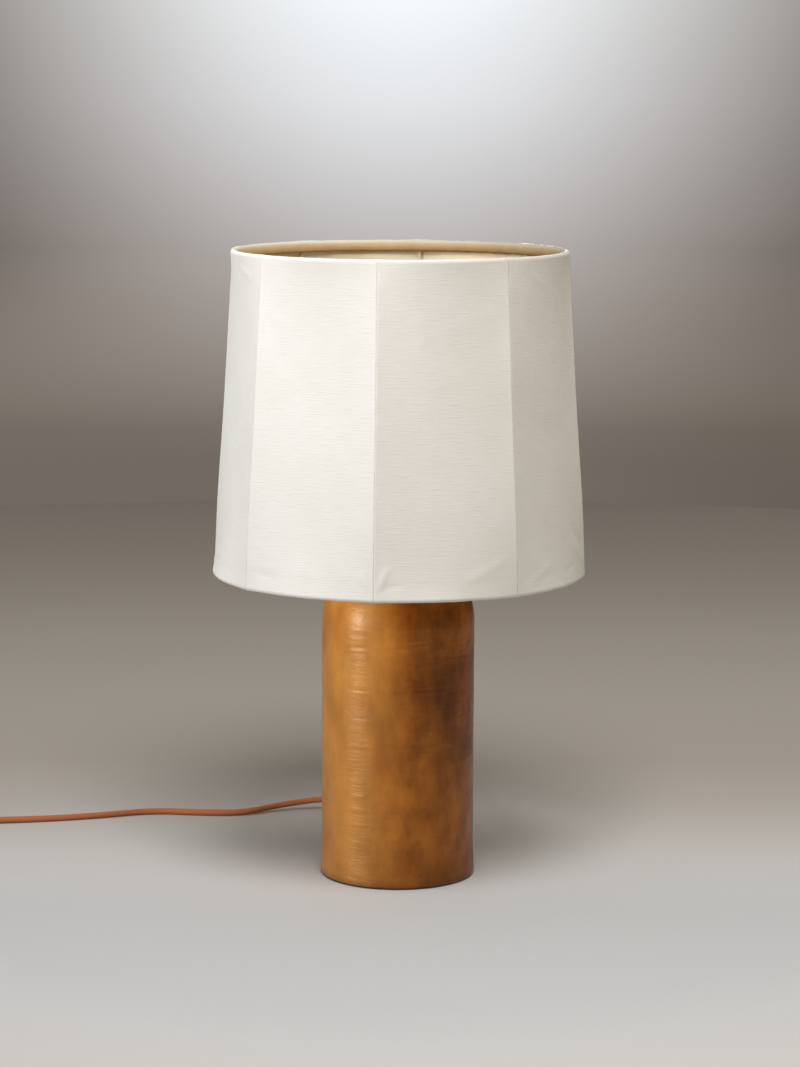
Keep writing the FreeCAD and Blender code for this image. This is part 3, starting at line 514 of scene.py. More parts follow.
seam_rows, off_seam, lowest_stitch, proud = [], 0.0036, 0.030, 1.0005
for side in (-1, 1):
    turn = radians(seam_at) + side * off_seam / column_radius
    seam_rows.append([(radius * sin(turn) * proud, -radius * cos(turn) * proud, z + 0.0001)
                      for radius, z in outline if z >= lowest_stitch])
sew("back_seam_stitches", seam_rows)
ring = disc_radius - stitch_inset
sew("crown_stitches", [[(ring * cos(radians(a)), ring * sin(radians(a)), disc_top - 0.0001)
                        for a in range(0, 361, 3)]])

# ------------ pipe, cap and neck
# A threaded steel pipe is nutted under the bulkhead. It carries a spun brass cap and
# a short brass neck on the leather top, and the lamp holder at its end.
wear, given, result = own_group(
    "lacquered metal tone", {"Scale": 120.0, "Low": (0.5, 0.4, 0.2, 1), "High": (0.7, 0.6, 0.3, 1)},
    {"Colour": "Color", "Roughness": "Float", "Normal": "Vector"})
tone = uneven(wear, given["Scale"], 1.6, place=given["Vector"])
lines = noise_of(stretched(given["Vector"], (1.0, 1.0, 40.0)), 90.0, 3.0)
feed(result, {"Colour": blend_colours(tone, given["Low"], given["High"]),
              "Roughness": spread(tone, 0.2, 0.8, 0.30, 0.18), "Normal": relief(lines, 0.12, 0.0002)})


def worn_metal(name, colour, roughness, scale, dark, pale, results=("Colour", "Normal")):
    """A bare or lacquered metal, from the shared tone's results that it uses."""
    made, tree, shader = new_finish(name, colour, roughness, 1.0)
    shifted_tone = use_group(wear, {"Vector": own_place(tree), "Scale": scale, "Low": linear(*dark), "High": linear(*pale)})
    feed(shader, {"Base Color" if key == "Colour" else key: shifted_tone[key] for key in results})
    return made


brass = worn_metal("lacquered brass", (190, 150, 84), 0.26, 130.0, (168, 126, 62), (206, 168, 102),
                   ("Colour", "Roughness", "Normal"))
steel = worn_metal("plain steel", (150, 149, 146), 0.34, 160.0, (122, 120, 116), (170, 168, 163))
paint(brass, "vase_cap", "neck", "harp_saddle", "harp", "harp_stud", "ferrule_left", "ferrule_right", "finial",
      "socket_cap", "socket_shell", "spider_arms", "spider_hub", "screw_shell", "centre_contact", "terminal_screws")
paint(steel, "lamp_pipe", "top_ring", "bottom_ring", "switch_shaft", "bulb_contact")

# ------------ lamp holder and switch
# The brass shell has a card liner and a porcelain block that carries the screw shell.
# A ribbed black knob on the front turns the switch.
card = mottled_finish("insulating card", (92, 82, 68), 0.9, 500.0, 1.5, (78, 69, 56), (108, 97, 82))[0]
moulded, tree, shader = new_finish("moulded black plastic", (30, 29, 28), 0.42)
fine = noise_of(own_place(tree), 1400.0, 3.0)
feed(shader, {"Base Color": blend_colours(fine, linear(24, 23, 22), linear(38, 36, 34)),
              "Roughness": spread(fine, 0.3, 0.7, 0.36, 0.50), "Normal": relief(fine, 0.25, 0.0001)})
porcelain, tree, shader, _ = mottled_finish("unglazed porcelain", (218, 212, 198), 0.7, 180.0, 1.2,
                                            (206, 199, 183), (228, 223, 210))
feed(shader, {"Normal": relief(noise_of(own_place(tree), 1600.0, 3.0), 0.2, 0.0001)})
paint(card, "socket_liner")
paint(porcelain, "socket_body")
paint(moulded, "switch_knob", "plug_body", "strain_relief")

# ------------ bulb
# A plain opal glass bulb with a screw base of pressed metal.
opal, tree, shader, _ = mottled_finish("opal glass", (243, 240, 232), 0.22, 40.0, 0.8, (236, 232, 222), (248, 246, 240))
feed(shader, {"Coat Weight": 0.4, "Coat Roughness": 0.12})
pressed = worn_metal("pressed bulb metal", (176, 172, 160), 0.32, 260.0, (150, 146, 136), (196, 192, 182))
paint(opal, "bulb_glass")
paint(pressed, "bulb_base")

# ------------ shade frame
# Two wire rings and eight straight wires, each wound with cotton tape so that the
# cloth can be sewn to it. Four wire arms carry the hub that sits on the harp.
ring_wire, rib_wire = 0.0015, 0.0011
top_ring_box, bottom_ring_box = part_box("top_ring"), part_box("bottom_ring")
top_ring_radius = top_ring_box[1].x - ring_wire
bottom_ring_radius = bottom_ring_box[1].x - ring_wire
top_ring_level = (top_ring_box[0].z + top_ring_box[1].z) / 2
bottom_ring_level = (bottom_ring_box[0].z + bottom_ring_box[1].z) / 2
rib_phase, rib_step = -7.2, 45.0


def rib_radius(z):
    """How far the straight ribs stand from the lamp's axis at a height."""
    share = (z - bottom_ring_level) / (top_ring_level - bottom_ring_level)
    return bottom_ring_radius + share * (top_ring_radius - bottom_ring_radius)


def from_front(radius, turn, z):
    """The point at an angle in degrees from straight ahead, positive towards +X."""
    return (radius * sin(radians(turn)), -radius * cos(radians(turn)), z)


def rib_bend(up):
    """How far the ribs are bent outwards, most in their lower third."""
    return 0.0012 * exp(-((up - 0.22) / 0.20) ** 2) * min(1.0, up / 0.06)


def tube_faces(rows, sides):
    """Faces of a closed tube of so many rings, with a cap at each end."""
    faces = [(i * sides + j, i * sides + (j + 1) % sides, (i + 1) * sides + (j + 1) % sides, (i + 1) * sides + j)
             for i in range(rows - 1) for j in range(sides)]
    return faces + [tuple(range(sides - 1, -1, -1)), tuple((rows - 1) * sides + j for j in range(sides))]


tape = mottled_finish("cotton tape", (214, 196, 162), 0.92, 420.0, 1.4, (198, 176, 138), (226, 208, 176))[0]
tape_pitch, tape_lap, tape_width = 0.0065, 0.10, 1.1
for k in range(8):
    low = Vector(from_front(bottom_ring_radius, rib_phase + k * rib_step, bottom_ring_level + ring_wire))
    high = Vector(from_front(top_ring_radius, rib_phase + k * rib_step, top_ring_level - ring_wire))
    tall = (high - low).length
    up = (high - low).normalized()
    side = up.cross(Vector((0, 0, 1))).normalized()
    front = side.cross(up)
    out = Vector((low.x, low.y, 0)).normalized()
    inner_side = 1.0 if front.dot(out) > 0 else -1.0
    rows, sides = 260, 16
    points = []
    for i in range(rows):
        along = tall * i / (rows - 1)
        for j in range(sides):
            lap = (along / tape_pitch - j / sides) % 1.0
            radius = rib_wire * (1 - tape_lap + tape_lap * lap)
            angle = 2 * pi * j / sides
            inwards = max(0.0, -sin(angle) * inner_side)
            wide = 1.0 + tape_width * min(1.0, 2.0 * inwards) * min(1.0, along / 0.006, tall / 0.006 - along / 0.006)
            points.append(low + up * along + out * rib_bend(i / (rows - 1)) + side * radius * wide * cos(angle)
                          + front * radius * sin(angle))
    piece("taped_rib_%d" % (k + 1), points, tube_faces(rows, sides), [tape], "shade", ["rib_%d" % (k + 1)])

# ------------ shade cloth
# Eight panels of slubbed off-white cloth, lined with cream cloth, are pulled tight
# between the ribs and sewn to them, so each is flat across its middle and sharp at the ribs.
# The lining's warm cream is partly its own colour and partly painted light.
weave, given, result = own_group("plain weave", {"Thread": 0.0006, "Slub": 1.0}, {"Height": "Float", "Tone": "Float"})
place = given["Vector"]
runs = [maths("SINE", times(maths("DIVIDE", part, given["Thread"]), pi)) for part in parts_of(place)[:2]]
over = spread(times(runs[0], runs[1]), -0.25, 0.25)
lanes = [maths("ABSOLUTE", run) for run in runs]
weft_slub = noise_of(stretched(place, (55.0, 800.0, 1.0)), 1.0, 2.0)
warp_slub = noise_of(stretched(place, (900.0, 18.0, 1.0)), 1.0, 2.0)
thick = maths("ADD", spread(weft_slub, 0.50, 0.74), times(spread(warp_slub, 0.60, 0.85), 0.5))
woven = maths("ADD", times(over, lanes[0]), times(maths("SUBTRACT", 1.0, over), lanes[1]))
feed(result, {"Height": maths("ADD", times(woven, 0.35), times(thick, given["Slub"])), "Tone": thick})


def cloth_finish(name, dark, pale, thread_gap, slub, bump_height):
    """A woven cloth that is darker along its lower edge, partly from dust and partly as painted shade."""
    made, tree, shader = new_finish(name, pale, 0.88)
    place = uv_place(tree)
    woven = use_group(weave, {"Vector": place, "Thread": thread_gap, "Slub": slub})
    colour = blend_colours(uneven(tree, 16.0, 1.2, 3.0), linear(*dark), linear(*pale))
    colour = blend_colours(times(woven["Tone"], 0.45), colour, linear(*dark))
    # Darker towards the lower edge: partly dust, partly painted shade.
    dust_and_shade = colour_ramp(spread(parts_of(place)[1], -0.003, 0.200),
                        ((0.0, (0.885, 0.88, 0.875, 1)), (1.0, (1, 1, 1, 1))))
    feed(shader, {"Base Color": blend_colours(1.0, colour, dust_and_shade, "MULTIPLY"),
                  "Normal": relief(woven["Height"], 0.4, bump_height), "Sheen Weight": 0.08})
    return made


shade_cloth = cloth_finish("slubbed off-white cloth", (228, 224, 217), (240, 238, 233), 0.0007, 1.0, 0.00022)
# The lining's warm cream: partly its own colour, partly painted light for warm light that bounces inside the shade and
# shines through the cloth.
lining_cloth = cloth_finish("cream lining", (226, 210, 178), (238, 225, 198), 0.0005, 0.4, 0.00008)
lining_stand, cloth_stand, deepest, ring_gap, edge_gap, flatness = 0.0012, 0.0022, 0.0007, 0.0015, 0.00002, 0.85
panel_wide, panel_tall, rounded_over = 0.132, 0.302, 0.058
roll_side, roll_end, rim_blend, seam_stand, seam_reach = 0.0024, 0.0030, 0.012, 0.0012, 0.013

# Puckers and pulls of the sewn cloth, by panel: start and end as percent across and up, then the half
# width and the depth in millimetres
pulls = {k: [(*(end / 100 for end in ends), half / 1000, depth / 1000) for *ends, half, depth in rows] for k, rows in {
    0: [(2, 2, 10, 10, 3, 0.8), (5, 3, 20, 4.5, 3, -0.4), (30, 86, 35, 74, 3, 0.4),
        (45, 70, 90, 45, 12, 0.4), (55, 3, 98, 12, 5, 0.5)],
    1: [(98, 2, 72, 13, 3.5, 1.1), (96, 9, 70, 17, 4, -0.7), (10, 2, 40, 8, 3.5, 0.5),
        (55, 2, 74, 6, 2.6, -0.5), (15, 55, 85, 50, 6, 0.3), (20, 97, 50, 90, 4, 0.4)],
    7: [(97, 2, 90, 8, 3, 0.7), (20, 85, 60, 60, 14, 0.3), (55, 50, 95, 30, 14, 0.3),
        (5, 6, 30, 3, 3.5, -0.4)],
    6: [(10, 2, 45, 8, 3.5, 0.6), (90, 93, 60, 97, 3.5, 0.5)],
    2: [(10, 2, 40, 10, 3.5, 0.7), (60, 97, 80, 88, 4, -0.5)],
    3: [(85, 3, 60, 10, 3.5, 0.7), (30, 60, 80, 40, 10, 0.4)],
    4: [(5, 4, 30, 12, 3.5, 0.7), (40, 98, 60, 90, 3.5, 0.5)],
    5: [(95, 3, 70, 10, 3.5, -0.7), (20, 70, 70, 45, 10, 0.4)]}.items()}


def panel_rows():
    """A panel's rows from the turned-under hem to the rolled rim: height share, roll angle or None."""
    rows = [(0.0, radians(a)) for a in (-118, -104, -90, -76, -62, -48, -34, -20, -8)]
    count = 104
    rows += [(0.5 - 0.5 * (0.75 * cos(pi * j / count) + 0.25 * (1 - 2 * j / count)), None) for j in range(count + 1)]
    return rows + [(1.0, radians(a)) for a in (8, 20, 34, 48, 62, 76, 90, 104, 118)]


def panel_point(k, across, row, outside):
    """A point of a panel's face, with across as the share from rib to rib."""
    up, roll = row
    z = bottom_ring_level + up * (top_ring_level - bottom_ring_level)
    tall = top_ring_level - bottom_ring_level
    flat = flatness * (1 - exp(-up * tall / rounded_over)) * (1 - exp(-(1 - up) * tall / rounded_over))
    near = rib_radius(z)
    drop = flat * (1 - cos(radians(rib_step / 2)))
    bow = 1 - drop * (1 - (2 * across - 1) ** 2)
    blend = min(1.0, min(up, 1 - up) * tall / rim_blend)
    first = rib_phase + k * rib_step
    edge = degrees(edge_gap / 2 / near)
    turn = first + edge + across * (rib_step - 2 * edge)
    width = radians(rib_step) * near
    in_from_edge = min(across, 1 - across) * width
    seam = seam_stand * exp(-in_from_edge / seam_reach)
    ring = radians(turn)
    hand = wander(sin(ring) * 9, cos(ring) * 9, up * 3)
    fine = wander(sin(ring) * 34, cos(ring) * 34, up * 3 + 4)
    right_rim = max(0.0, sin(ring)) ** 3 * (1.0 if up > 0.5 else 0.4)
    rim_lump = (0.00020 * hand + (0.00016 + 0.0004 * right_rim) * fine) * (1 - blend)
    stand = 0.0003 * wander(across * 2.5 + 7 * k, up * 5, 0.5) * min(1, in_from_edge / 0.01) * blend
    stand += 0.00007 * wander(across * 12 + 3 * k, up * 50, 2.5) * blend
    for a0, b0, a1, b1, half, depth in pulls[k]:
        sx, sy = (a1 - a0) * width, (b1 - b0) * panel_tall
        px, py = (across - a0) * width, (up - b0) * panel_tall
        run = sx * sx + sy * sy
        t = (px * sx + py * sy) / run
        off = (px * sy - py * sx) / sqrt(run)
        fade = max(0.0, 1 - (2 * t - 1) ** 2) if 0 < t < 1 else 0.0
        stand += depth * fade * exp(-(off / half) ** 2) * (0.2 + 0.8 * blend) * min(1.0, in_from_edge / 0.004)
    stand = max(stand, -deepest)
    if roll is None:
        skin = ring_gap + (lining_stand - ring_gap) * blend
        if outside:
            skin = roll_side + (cloth_stand - roll_side) * blend + seam + rim_lump
        return from_front(near * bow + skin + stand + rib_bend(up), turn, z)
    sine = sin(roll)
    thick = ring_gap + 0.00002
    if outside:
        thick = roll_side + (roll_end - roll_side) * sine * sine + seam * max(0.0, cos(roll)) ** 0.5 + rim_lump
    return from_front(near + thick * cos(roll), turn, z + thick * sine)


for k in range(8):
    columns, levels_up = 56, panel_rows()
    rows = len(levels_up)
    across_shares = [0.5 - 0.5 * cos(pi * i / (columns - 1)) for i in range(columns)]
    across_shares = [0.55 * s + 0.45 * i / (columns - 1) for i, s in enumerate(across_shares)]
    points, uv, faces, finish_of, cut_edges = [], [], [], [], []
    for outside in (True, False):
        for up, roll in levels_up:
            for across in across_shares:
                points.append(panel_point(k, across, (up, roll), outside))
                uv.append(((across - 0.5) * panel_wide + 0.3 * k, up * panel_tall + roll_end * (roll or 0.0)))
    count = columns * rows
    for j in range(rows - 1):
        for i in range(columns - 1):
            a = j * columns + i
            faces.append((a, a + 1, a + columns + 1, a + columns))
            finish_of.append(0)
            faces.append((count + a, count + a + columns, count + a + columns + 1, count + a + 1))
            finish_of.append(1)
    rim = list(range(columns)) + [j * columns + columns - 1 for j in range(1, rows)]
    rim += [(rows - 1) * columns + i for i in range(columns - 2, -1, -1)]
    rim += [j * columns for j in range(rows - 2, 0, -1)]
    for a, b in zip(rim, rim[1:] + rim[:1]):
        cut_edges.append(len(faces))
        faces.append((b, a, count + a, count + b))
        finish_of.append(0)
    made = piece("shade_panel_%d" % (k + 1), points, faces, [shade_cloth, lining_cloth], "shade",
                 ["panel_%d" % (k + 1)], flat_faces=cut_edges, face_finish=finish_of, uv=uv)

# ------------ turned-in bands
# The panels roll over both rings. Inside, a strip of the cloth covers their raw edges and
# is sewn down by hand, so its edge runs a little unevenly. Its colour turns tan towards its lower edge,
# partly from glue and partly as painted shade under the fold, and its right side is painted darker as painted shade.
band_cloth, tree, shader = new_finish("tanned band cloth", (206, 184, 146), 0.9)
woven = use_group(weave, {"Vector": uv_place(tree), "Thread": 0.0007, "Slub": 0.6})
stain = times(maths("SUBTRACT", uneven(tree, 45.0, 1.3), 0.5), 0.4)
# Tan towards the strip's lower edge, with a stain: partly glue, partly painted shade under the fold.
aged_and_shaded = maths("ADD", spread(parts_of(uv_place(tree))[1], 0.0025, 0.0115), stain)
tan_and_shade = colour_ramp(aged_and_shaded, (
    (0.0, linear(238, 228, 208)), (0.45, linear(228, 198, 148)), (1.0, linear(178, 132, 70))))
# A darker copy for the right side: painted shade.
darker = blend_colours(1.0, tan_and_shade, linear(176, 170, 160), "MULTIPLY")
shaded_right_share = spread(parts_of(own_place(tree))[0], -0.13, 0.16)
feed(shader, {"Base Color": blend_colours(shaded_right_share, tan_and_shade, darker),
              "Normal": relief(woven["Height"], 0.5, 0.00012)})
band_curl, band_start, leg_start = 0.0033, 108, 0.0041


def curl(rows, raised):
    """(out, rise, place along the strip) of points that stand at (radius, degrees) round a ring's wire."""
    return [((radius + raised) * cos(radians(a)), (radius + raised) * sin(radians(a)),
             band_curl * radians(a - band_start)) for radius, a in rows]


def inner_band(name, cad_name, ring_radius, ring_level, down, leg, flat_size):
    """A strip that lies over the rolled cloth inside the ring and runs down the lining."""
    face = [(0.00305, band_start), (0.00318, 126), (0.00330, 150), (0.00335, 180)]
    back = [(0.00265, 180), (0.00262, 150), (0.00262, 132), (0.00300, 118), (0.00301, band_start)]
    legs = [(0.3, 0.00335, 1), (0.6, 0.00330, 1), (0.85, 0.00322, 1), (1.0, 0.00300, 1), (1.0, 0.00268, 0),
            (0.5, 0.00265, 0)]
    count = 480
    points, uv = [], []
    for i in range(count):
        turn = 360 * i / count
        ring = radians(turn)
        hand = 0.5 + 0.5 * wander(sin(ring) * 9 + 4, cos(ring) * 9, 2.0)
        lump = 0.00018 * wander(sin(ring) * 40, cos(ring) * 40, ring_radius * 50)
        sewn = 0.0005 * abs(sin(ring * 31 + 1.5 * hand)) + 0.0009 * hand
        length = leg - sewn
        section = curl(face, lump) + [(-out - lump * raised, -length * share, leg_start + length * share)
                                      for share, out, raised in legs] + curl(back, 0.0)
        for x, rise, along in section:
            points.append(from_front(ring_radius + x, turn, ring_level + rise if down else ring_level - rise))
            uv.append((turn / 360 * flat_size[0], along))
    faces = turned_grid(len(points) // count, count)
    if not down:
        faces = [face[::-1] for face in faces]
    made = piece(name, points, faces, [band_cloth], "shade", [cad_name], uv=uv)


inner_band("top_inner_band", "top_binding", top_ring_radius, top_ring_level, True, 0.0085, (0.970, 0.0126))
inner_band("bottom_inner_band", "bottom_binding", bottom_ring_radius, bottom_ring_level, False, 0.0075, (1.080, 0.0116))

# ------------ lead
# A round two-core lead with a braided caramel textile cover, 1.8 m long. It leaves the
# foot at the back, runs off to the left, and its spare length is coiled and tied by the plug.
cord_radius, cord_exit = 0.00315, (0.0, 0.0976, 0.018)
coil_turn, coil_level = 0.0069, 0.00395
cord_points = [cord_exit, (0, 0.150, 0.018), (-0.009, 0.203, 0.017), (-0.038, 0.244, 0.0136), (-0.080, 0.257, 0.0104),
               (-0.124, 0.246, 0.006), (-0.158, 0.223, 0.0034), (-0.205, 0.223, 0.0032), (-0.254, 0.231, 0.0032),
               (-0.306, 0.209, 0.0032), (-0.356, 0.194, 0.0032), (-0.405, 0.1845, coil_level),
               (-0.468, 0.1755, coil_level)]
ahead = (Vector(cord_points[-1]) - Vector(cord_points[-2])).normalized()
right = Vector((ahead.y, -ahead.x, 0))
at = coil_start = Vector(cord_points[-1])
turn_radii = [0.0415, 0.03805, 0.0346, 0.03115, 0.0277, 0.03115, 0.0346, 0.03805, 0.0415, 0.04495]
for k, radius in enumerate(turn_radii):
    side = 1 if k % 2 == 0 else -1
    lift = coil_turn if k == 4 else 0.0
    middle = at + right * (side * radius)
    for j in range(1, 9):
        angle = pi * j / 8
        out = radius * (1.010 if j < 8 else 1.0)
        cord_points.append(tuple(middle + (ahead * sin(angle) - right * cos(angle)) * side * out
                                 + Vector((0, 0, lift * (1 - cos(angle)) / 2))))
    at = at + right * (side * 2 * radius) + Vector((0, 0, lift))
cord_points += [tuple(at + ahead * f + right * r - Vector((0, 0, 0.0033 * down)))
                for f, r, down in ((0.024, 0.002, 0.1), (0.048, -0.003, 1), (0.074, -0.002, 1))]


def smooth_line(name, control):
    """The smooth line that a lead takes through its guiding points."""
    curve = bpy.data.curves.new(name, "CURVE")
    curve.dimensions = "3D"
    spline = curve.splines.new("NURBS")
    spline.points.add(len(control) - 1)
    for point, place in zip(spline.points, control):
        point.co = (*place, 1.0)
    spline.order_u = 3
    spline.use_endpoint_u = True
    curve.resolution_u = 8
    holder = bpy.data.objects.new(name, curve)
    mesh = bpy.data.meshes.new_from_object(holder)
    line = [v.co.copy() for v in mesh.vertices]
    bpy.data.meshes.remove(mesh)
    bpy.data.objects.remove(holder)
    return line


def tube_along(line, radius, sides):
    """Points, faces and (share round, length) places of a round tube that follows a line."""
    points, uv = [], []
    across = (line[1] - line[0]).orthogonal().normalized()
    length = 0.0
    for i, place in enumerate(line):
        heading = (line[min(i + 1, len(line) - 1)] - line[max(i - 1, 0)]).normalized()
        across = (across - heading * across.dot(heading)).normalized()
        other = heading.cross(across)
        length += (place - line[max(i - 1, 0)]).length
        for j in range(sides):
            angle = 2 * pi * j / sides
            points.append(place + (across * cos(angle) + other * sin(angle)) * radius)
            uv.append((j / sides, length))
    return points, tube_faces(len(line), sides), uv


braid, tree, shader = new_finish("caramel textile braid", (158, 88, 42), 0.85)
round_share, length_part, _ = parts_of(uv_place(tree))
carrier_count, braid_pitch = 8, 0.0198
waves = [maths("SINE", maths("ADD", times(round_share, side * 2 * pi * carrier_count),
                             times(length_part, 2 * pi * carrier_count / braid_pitch))) for side in (-1, 1)]
stranded = maths("ADD", times(times(waves[0], waves[1]), 0.5), 0.5)
colour = blend_colours(stranded, linear(112, 54, 22), linear(166, 90, 42))
paler = spread(uneven(tree, 900.0, 1.5), 0.4, 0.9, 0.0, 0.35)
feed(shader, {"Base Color": blend_colours(paler, colour, linear(184, 112, 60)),
              "Normal": relief(stranded, 0.6, 0.00025), "Sheen Weight": 0.15})

lead_line = smooth_line("lead line", cord_points)
points, faces, uv = tube_along(lead_line, cord_radius, 16)
lead = piece("textile_lead", points, faces, [braid], "stand", ["cord_free", "cord_coil"], uv=uv)

inside_line = smooth_line("inside line", [(0, 0.0976, 0.018), (0, 0.060, 0.018), (0, 0.030, 0.018), (0, 0.005, 0.019),
                                          (0, 0.0, 0.035), (0, 0, 0.060), (0, 0, 0.180), (0, 0, 0.309)])
points, faces, uv = tube_along(inside_line, 0.0031, 12)
piece("lead_inside_column", points, faces, [braid], "stand", ["internal_cord"], uv=uv)
jacket = mottled_finish("wire insulation", (38, 36, 35), 0.42, 400.0, 1.0, (30, 28, 27), (48, 46, 44))[0]
points, faces = [], []
for side in (-1, 1):
    line = smooth_line("core line", [(side * x, 0, z) for x, z in ((0.0016, 0.309), (0.0016, 0.312), (0.005, 0.3135),
                                                                   (0.0085, 0.3146), (0.0085, 0.3174))])
    own_points, own_faces, _ = tube_along(line, 0.001, 8)
    faces += [tuple(v + len(points) for v in face) for face in own_faces]
    points += own_points
piece("socket_lead_pair", points, faces, [jacket], "stand", ["socket_leads"])

# ------------ tie and plug
# A cloth strap holds the coil's turns, and the moulded plug has two flat blades.
strap, tree, shader, _ = mottled_finish("woven tie strap", (38, 36, 34), 0.9, 900.0, 1.8, (30, 28, 26), (58, 54, 50))
woven = use_group(weave, {"Vector": uv_place(tree), "Thread": 0.0007, "Slub": 0.2})
feed(shader, {"Normal": relief(woven["Height"], 0.7, 0.0003)})
tie_half, tie_width, tie_wall, tie_corner = cord_radius + 0.00015, 0.009, 0.0006, 0.0024
tie_far = 2 * turn_radii[0] + tie_half
tie_near = 2 * turn_radii[0] - 2 * coil_turn - tie_width ** 2 / 8 / min(turn_radii) - tie_half
tie_low, tie_high = coil_level - tie_half, coil_level + coil_turn + tie_half
path = []
outer, inner = tie_far - tie_corner, tie_near + tie_corner
lower, upper = tie_low + tie_corner, tie_high - tie_corner
for middle_y, middle_z, first in ((outer, lower, -90), (outer, upper, 0), (inner, upper, 90), (inner, lower, 180)):
    for step in range(7):
        a = radians(first + 15 * step)
        path.append((middle_y + tie_corner * cos(a), middle_z + tie_corner * sin(a), cos(a), sin(a)))
    if first == 0:
        path += [(outer - (outer - inner) * j / 8, tie_high, 0.0, 1.0) for j in range(1, 8)]
lap = path[10:30]
points, faces, uv = [], [], []
for line, closed, lift in ((path, True, 0.0), (lap, False, tie_wall)):
    start, length = len(points), 0.0
    for i, (y, z, out_y, out_z) in enumerate(line):
        before = line[i - 1] if i or closed else line[0]
        length += hypot(y - before[0], z - before[1]) if i else 0.0
        for along, stand in ((-0.5, 0.02), (-0.5, 0.75), (-0.46, 1.0), (0.46, 1.0), (0.5, 0.75), (0.5, 0.02)):
            if not closed and i in (0, len(line) - 1):
                stand *= 0.6
            spot = coil_start + right * (y + out_y * (lift + stand * tie_wall)) + ahead * along * tie_width
            points.append((spot.x, spot.y, z + out_z * (lift + stand * tie_wall)))
            uv.append((along * tie_width, length))
    count = len(line)
    for i in range(count if closed else count - 1):
        here, ahead_of = start + i * 6, start + (i + 1) % count * 6
        faces += [(here + k, here + (k + 1) % 6, ahead_of + (k + 1) % 6, ahead_of + k) for k in range(6)]
    if not closed:
        faces += [tuple(start + k for k in range(5, -1, -1)), tuple(start + (count - 1) * 6 + k for k in range(6))]
tie = piece("coil_tie_strap", points, faces, [strap], "stand", ["coil_tie"], uv=uv)
shell = bmesh.new()
shell.from_mesh(tie.data)
bmesh.ops.recalc_face_normals(shell, faces=shell.faces)
shell.to_mesh(tie.data)
shell.free()
blade = worn_metal("plated blade", (196, 190, 176), 0.26, 300.0, (176, 168, 150), (212, 206, 194))
paint(blade, "plug_blades")

# ------------ floor, backdrop and light
# A pale floor under a soft grey backdrop. Its colour is painted light: pale near the lamp and darker away
# from it, with a painted shadow band a little behind it. Of the four area lights, the tall left one misses the
# floor and the leather, and the low strip reaches only the leather and the lead. The others hang above
# and stand on the right, and reach everything.
floor_finish, tree, shader = new_finish("studio floor", (204, 200, 195), 0.8)
reach = node(tree, "ShaderNodeVectorMath", {0: own_place(tree)}, operation="LENGTH").outputs["Value"]
far = maths("MAXIMUM", parts_of(own_place(tree))[1], maths("SUBTRACT", reach, 0.6))
# Painted light: pale near the lamp and darker away from it, with a painted shadow band a little behind it.
stops = ((0.0, (218, 219, 220)), (0.036, (224, 223, 223)), (0.079, (226, 222, 219)), (0.157, (210, 202, 194)),
         (0.229, (202, 193, 182)), (0.35, (208, 199, 187)), (0.50, (208, 198, 186)), (0.62, (200, 189, 176)),
         (0.75, (193, 181, 168)), (1.0, (185, 172, 160)))
feed(shader, {"Base Color": colour_ramp(spread(far, -0.15, 2.65), [(s, linear(*c)) for s, c in stops]),
              "Specular IOR Level": 0.2})
steps, floor_radius = 96, 2.6
points = [(0, 0, 0)] + [(floor_radius * cos(2 * pi * i / steps), floor_radius * sin(2 * pi * i / steps), 0)
                        for i in range(steps)]
floor_mesh = bpy.data.meshes.new("floor")
floor_mesh.from_pydata(points, [], [(0, 1 + i, 1 + (i + 1) % steps) for i in range(steps)])
floor_mesh.materials.append(floor_finish)
floor = placed("floor", floor_mesh)

world = bpy.data.worlds.new("studio")
bpy.context.scene.world = world
world.use_nodes = True
tree = world.node_tree
tree.nodes.clear()
head_x, _, head_z = parts_of(node(tree, "ShaderNodeTexCoord").outputs["Generated"])
stops = ((0.0, (113, 105, 98)), (0.09, (114, 106, 98)), (0.15, (121, 113, 105)), (0.206, (136, 128, 120)),
         (0.40, (172, 165, 160)), (0.594, (201, 199, 199)), (0.789, (228, 230, 233)), (1.0, (247, 252, 255)))
wall = colour_ramp(spread(head_z, -0.14, 0.02), [(s, linear(*c)) for s, c in stops])


def one_less(value):
    """What is left of one."""
    return maths("SUBTRACT", 1.0, value)


bell_width, bell_floor = 0.1266, 0.33
aside = maths("DIVIDE", head_x, bell_width)
bell = maths("POWER", exp(1), times(times(aside, aside), -1.0))
bell = maths("MAXIMUM", bell, bell_floor)
shaded = one_less(times(spread(head_z, -0.125, -0.060), one_less(bell)))
right_side = times(spread(head_x, 0.055, 0.118, 0.0, 0.15), spread(head_z, -0.050, -0.085))
shaded = times(shaded, one_less(right_side))
lost = one_less(shaded)
grey = node(tree, "ShaderNodeCombineXYZ", {"X": shaded, "Y": times(shaded, one_less(times(lost, 0.15))),
                                           "Z": times(shaded, one_less(times(lost, 0.25)))}).outputs[0]
backdrop = blend_colours(1.0, wall, grey, "MULTIPLY")
sides = blend_colours(spread(head_x, -0.9, 0.9), (1.52, 1.60, 1.74, 1), (0.80, 0.73, 0.53, 1))
seen, fill, dim = (node(tree, "ShaderNodeBackground", {"Color": tone, "Strength": strength}).outputs[0]
                   for tone, strength in ((backdrop, 1.0), (sides, 0.21), (backdrop, 0.10)))
ray = node(tree, "ShaderNodeLightPath").outputs
room = node(tree, "ShaderNodeMixShader", {0: ray["Is Glossy Ray"], 1: fill, 2: dim}).outputs[0]
direct = maths("MAXIMUM", ray["Is Camera Ray"], ray["Is Transmission Ray"])
mixed = node(tree, "ShaderNodeMixShader", {0: direct, 1: room, 2: seen}).outputs[0]
node(tree, "ShaderNodeOutputWorld", {"Surface": mixed})

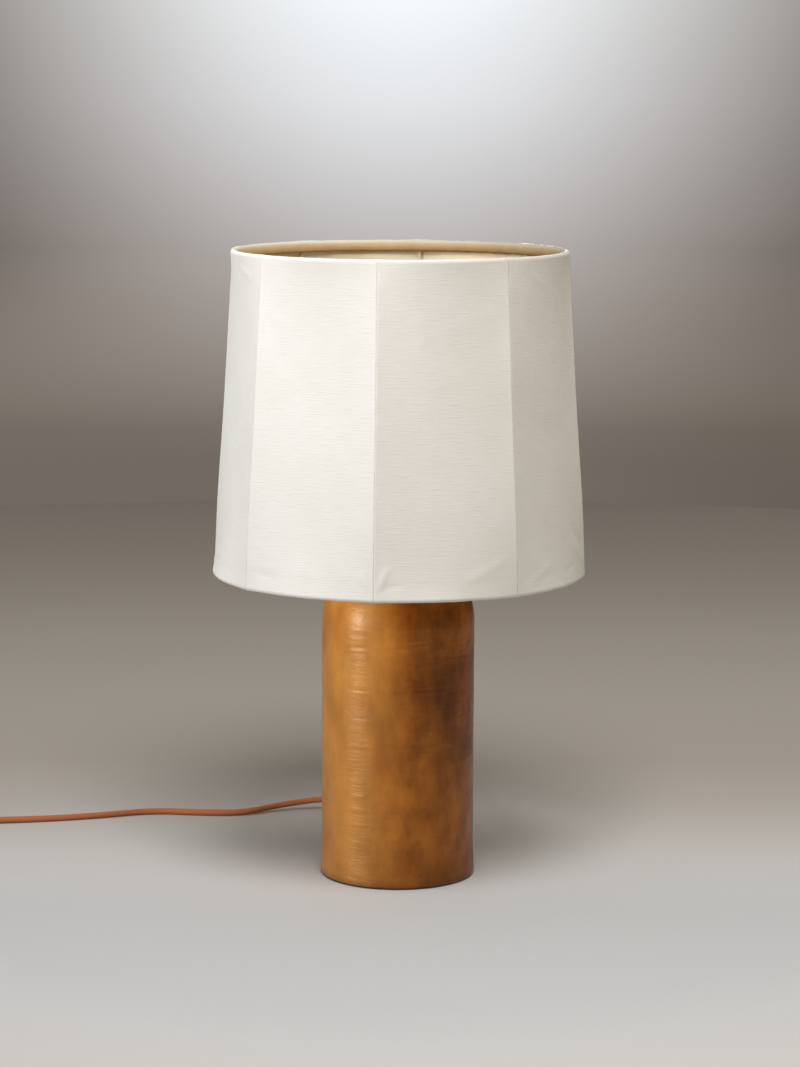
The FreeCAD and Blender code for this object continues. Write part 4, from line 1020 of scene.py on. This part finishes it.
for name, place, aim, width, tall, power, tint in (
        ("window light", (-1.98, -1.00, 1.50), (0, 0, 0.56), 0.6, 1.6, 36.5, (0.995, 1.0, 1.005)),
        ("low strip", (-1.94, -1.03, 0.42), (0, 0, 0.22), 0.35, 0.56, 31, (1.0, 0.98, 0.95)),
        ("ceiling light", (0.12, -1.26, 2.32), (0, 0, 0.2), 0.9, 1.0, 37, (1.0, 0.982, 0.968)),
        ("right fill", (2.1, -1.3, 0.9), (0, 0, 0.35), 1.4, 1.4, 5, (1.0, 0.88, 0.60))):
    lamp = bpy.data.lights.new(name, "AREA")
    lamp.shape, lamp.size, lamp.size_y, lamp.energy, lamp.color = "RECTANGLE", width, tall, power, tint
    holder = placed(name, lamp)
    holder.location = place
    holder.rotation_euler = (Vector(aim) - Vector(place)).to_track_quat("-Z", "Y").to_euler()
    holder.visible_camera = False
    holder.visible_glossy = name != "right fill"
    if holder.location.x < -1:
        chosen = bpy.data.collections.new("linked to the " + name)
        for thing in ((floor, hide_piece) if name == "window light" else (hide_piece, lead)):
            chosen.objects.link(thing)
        holder.light_linking.receiver_collection = chosen
        for entry in chosen.collection_objects:
            entry.light_linking.link_state = "EXCLUDE" if name == "window light" else "INCLUDE"

# ------------ camera
# Three metres in front of the column and a little above the shade, looking slightly down.
camera_data = bpy.data.cameras.new("camera")
camera_data.lens, camera_data.sensor_width, camera_data.sensor_fit = 107.33, 36.0, "AUTO"
camera = placed("camera", camera_data)
pitch, roll, yaw = 0.1493, 0.00447, 0.00044
view_right = Vector((cos(yaw), -sin(yaw), 0))
view_ahead = Vector((sin(yaw) * cos(pitch), cos(yaw) * cos(pitch), -sin(pitch)))
view_up = view_right.cross(view_ahead)
tilted_right = view_right * cos(roll) + view_up * sin(roll)
tilted_up = view_up * cos(roll) - view_right * sin(roll)
camera.matrix_world = Matrix((
    (tilted_right.x, tilted_up.x, -view_ahead.x, 0.0), (tilted_right.y, tilted_up.y, -view_ahead.y, -3.0),
    (tilted_right.z, tilted_up.z, -view_ahead.z, 0.7818), (0, 0, 0, 1)))
bpy.context.scene.camera = camera
bpy.context.scene.view_settings.view_transform = "Standard"
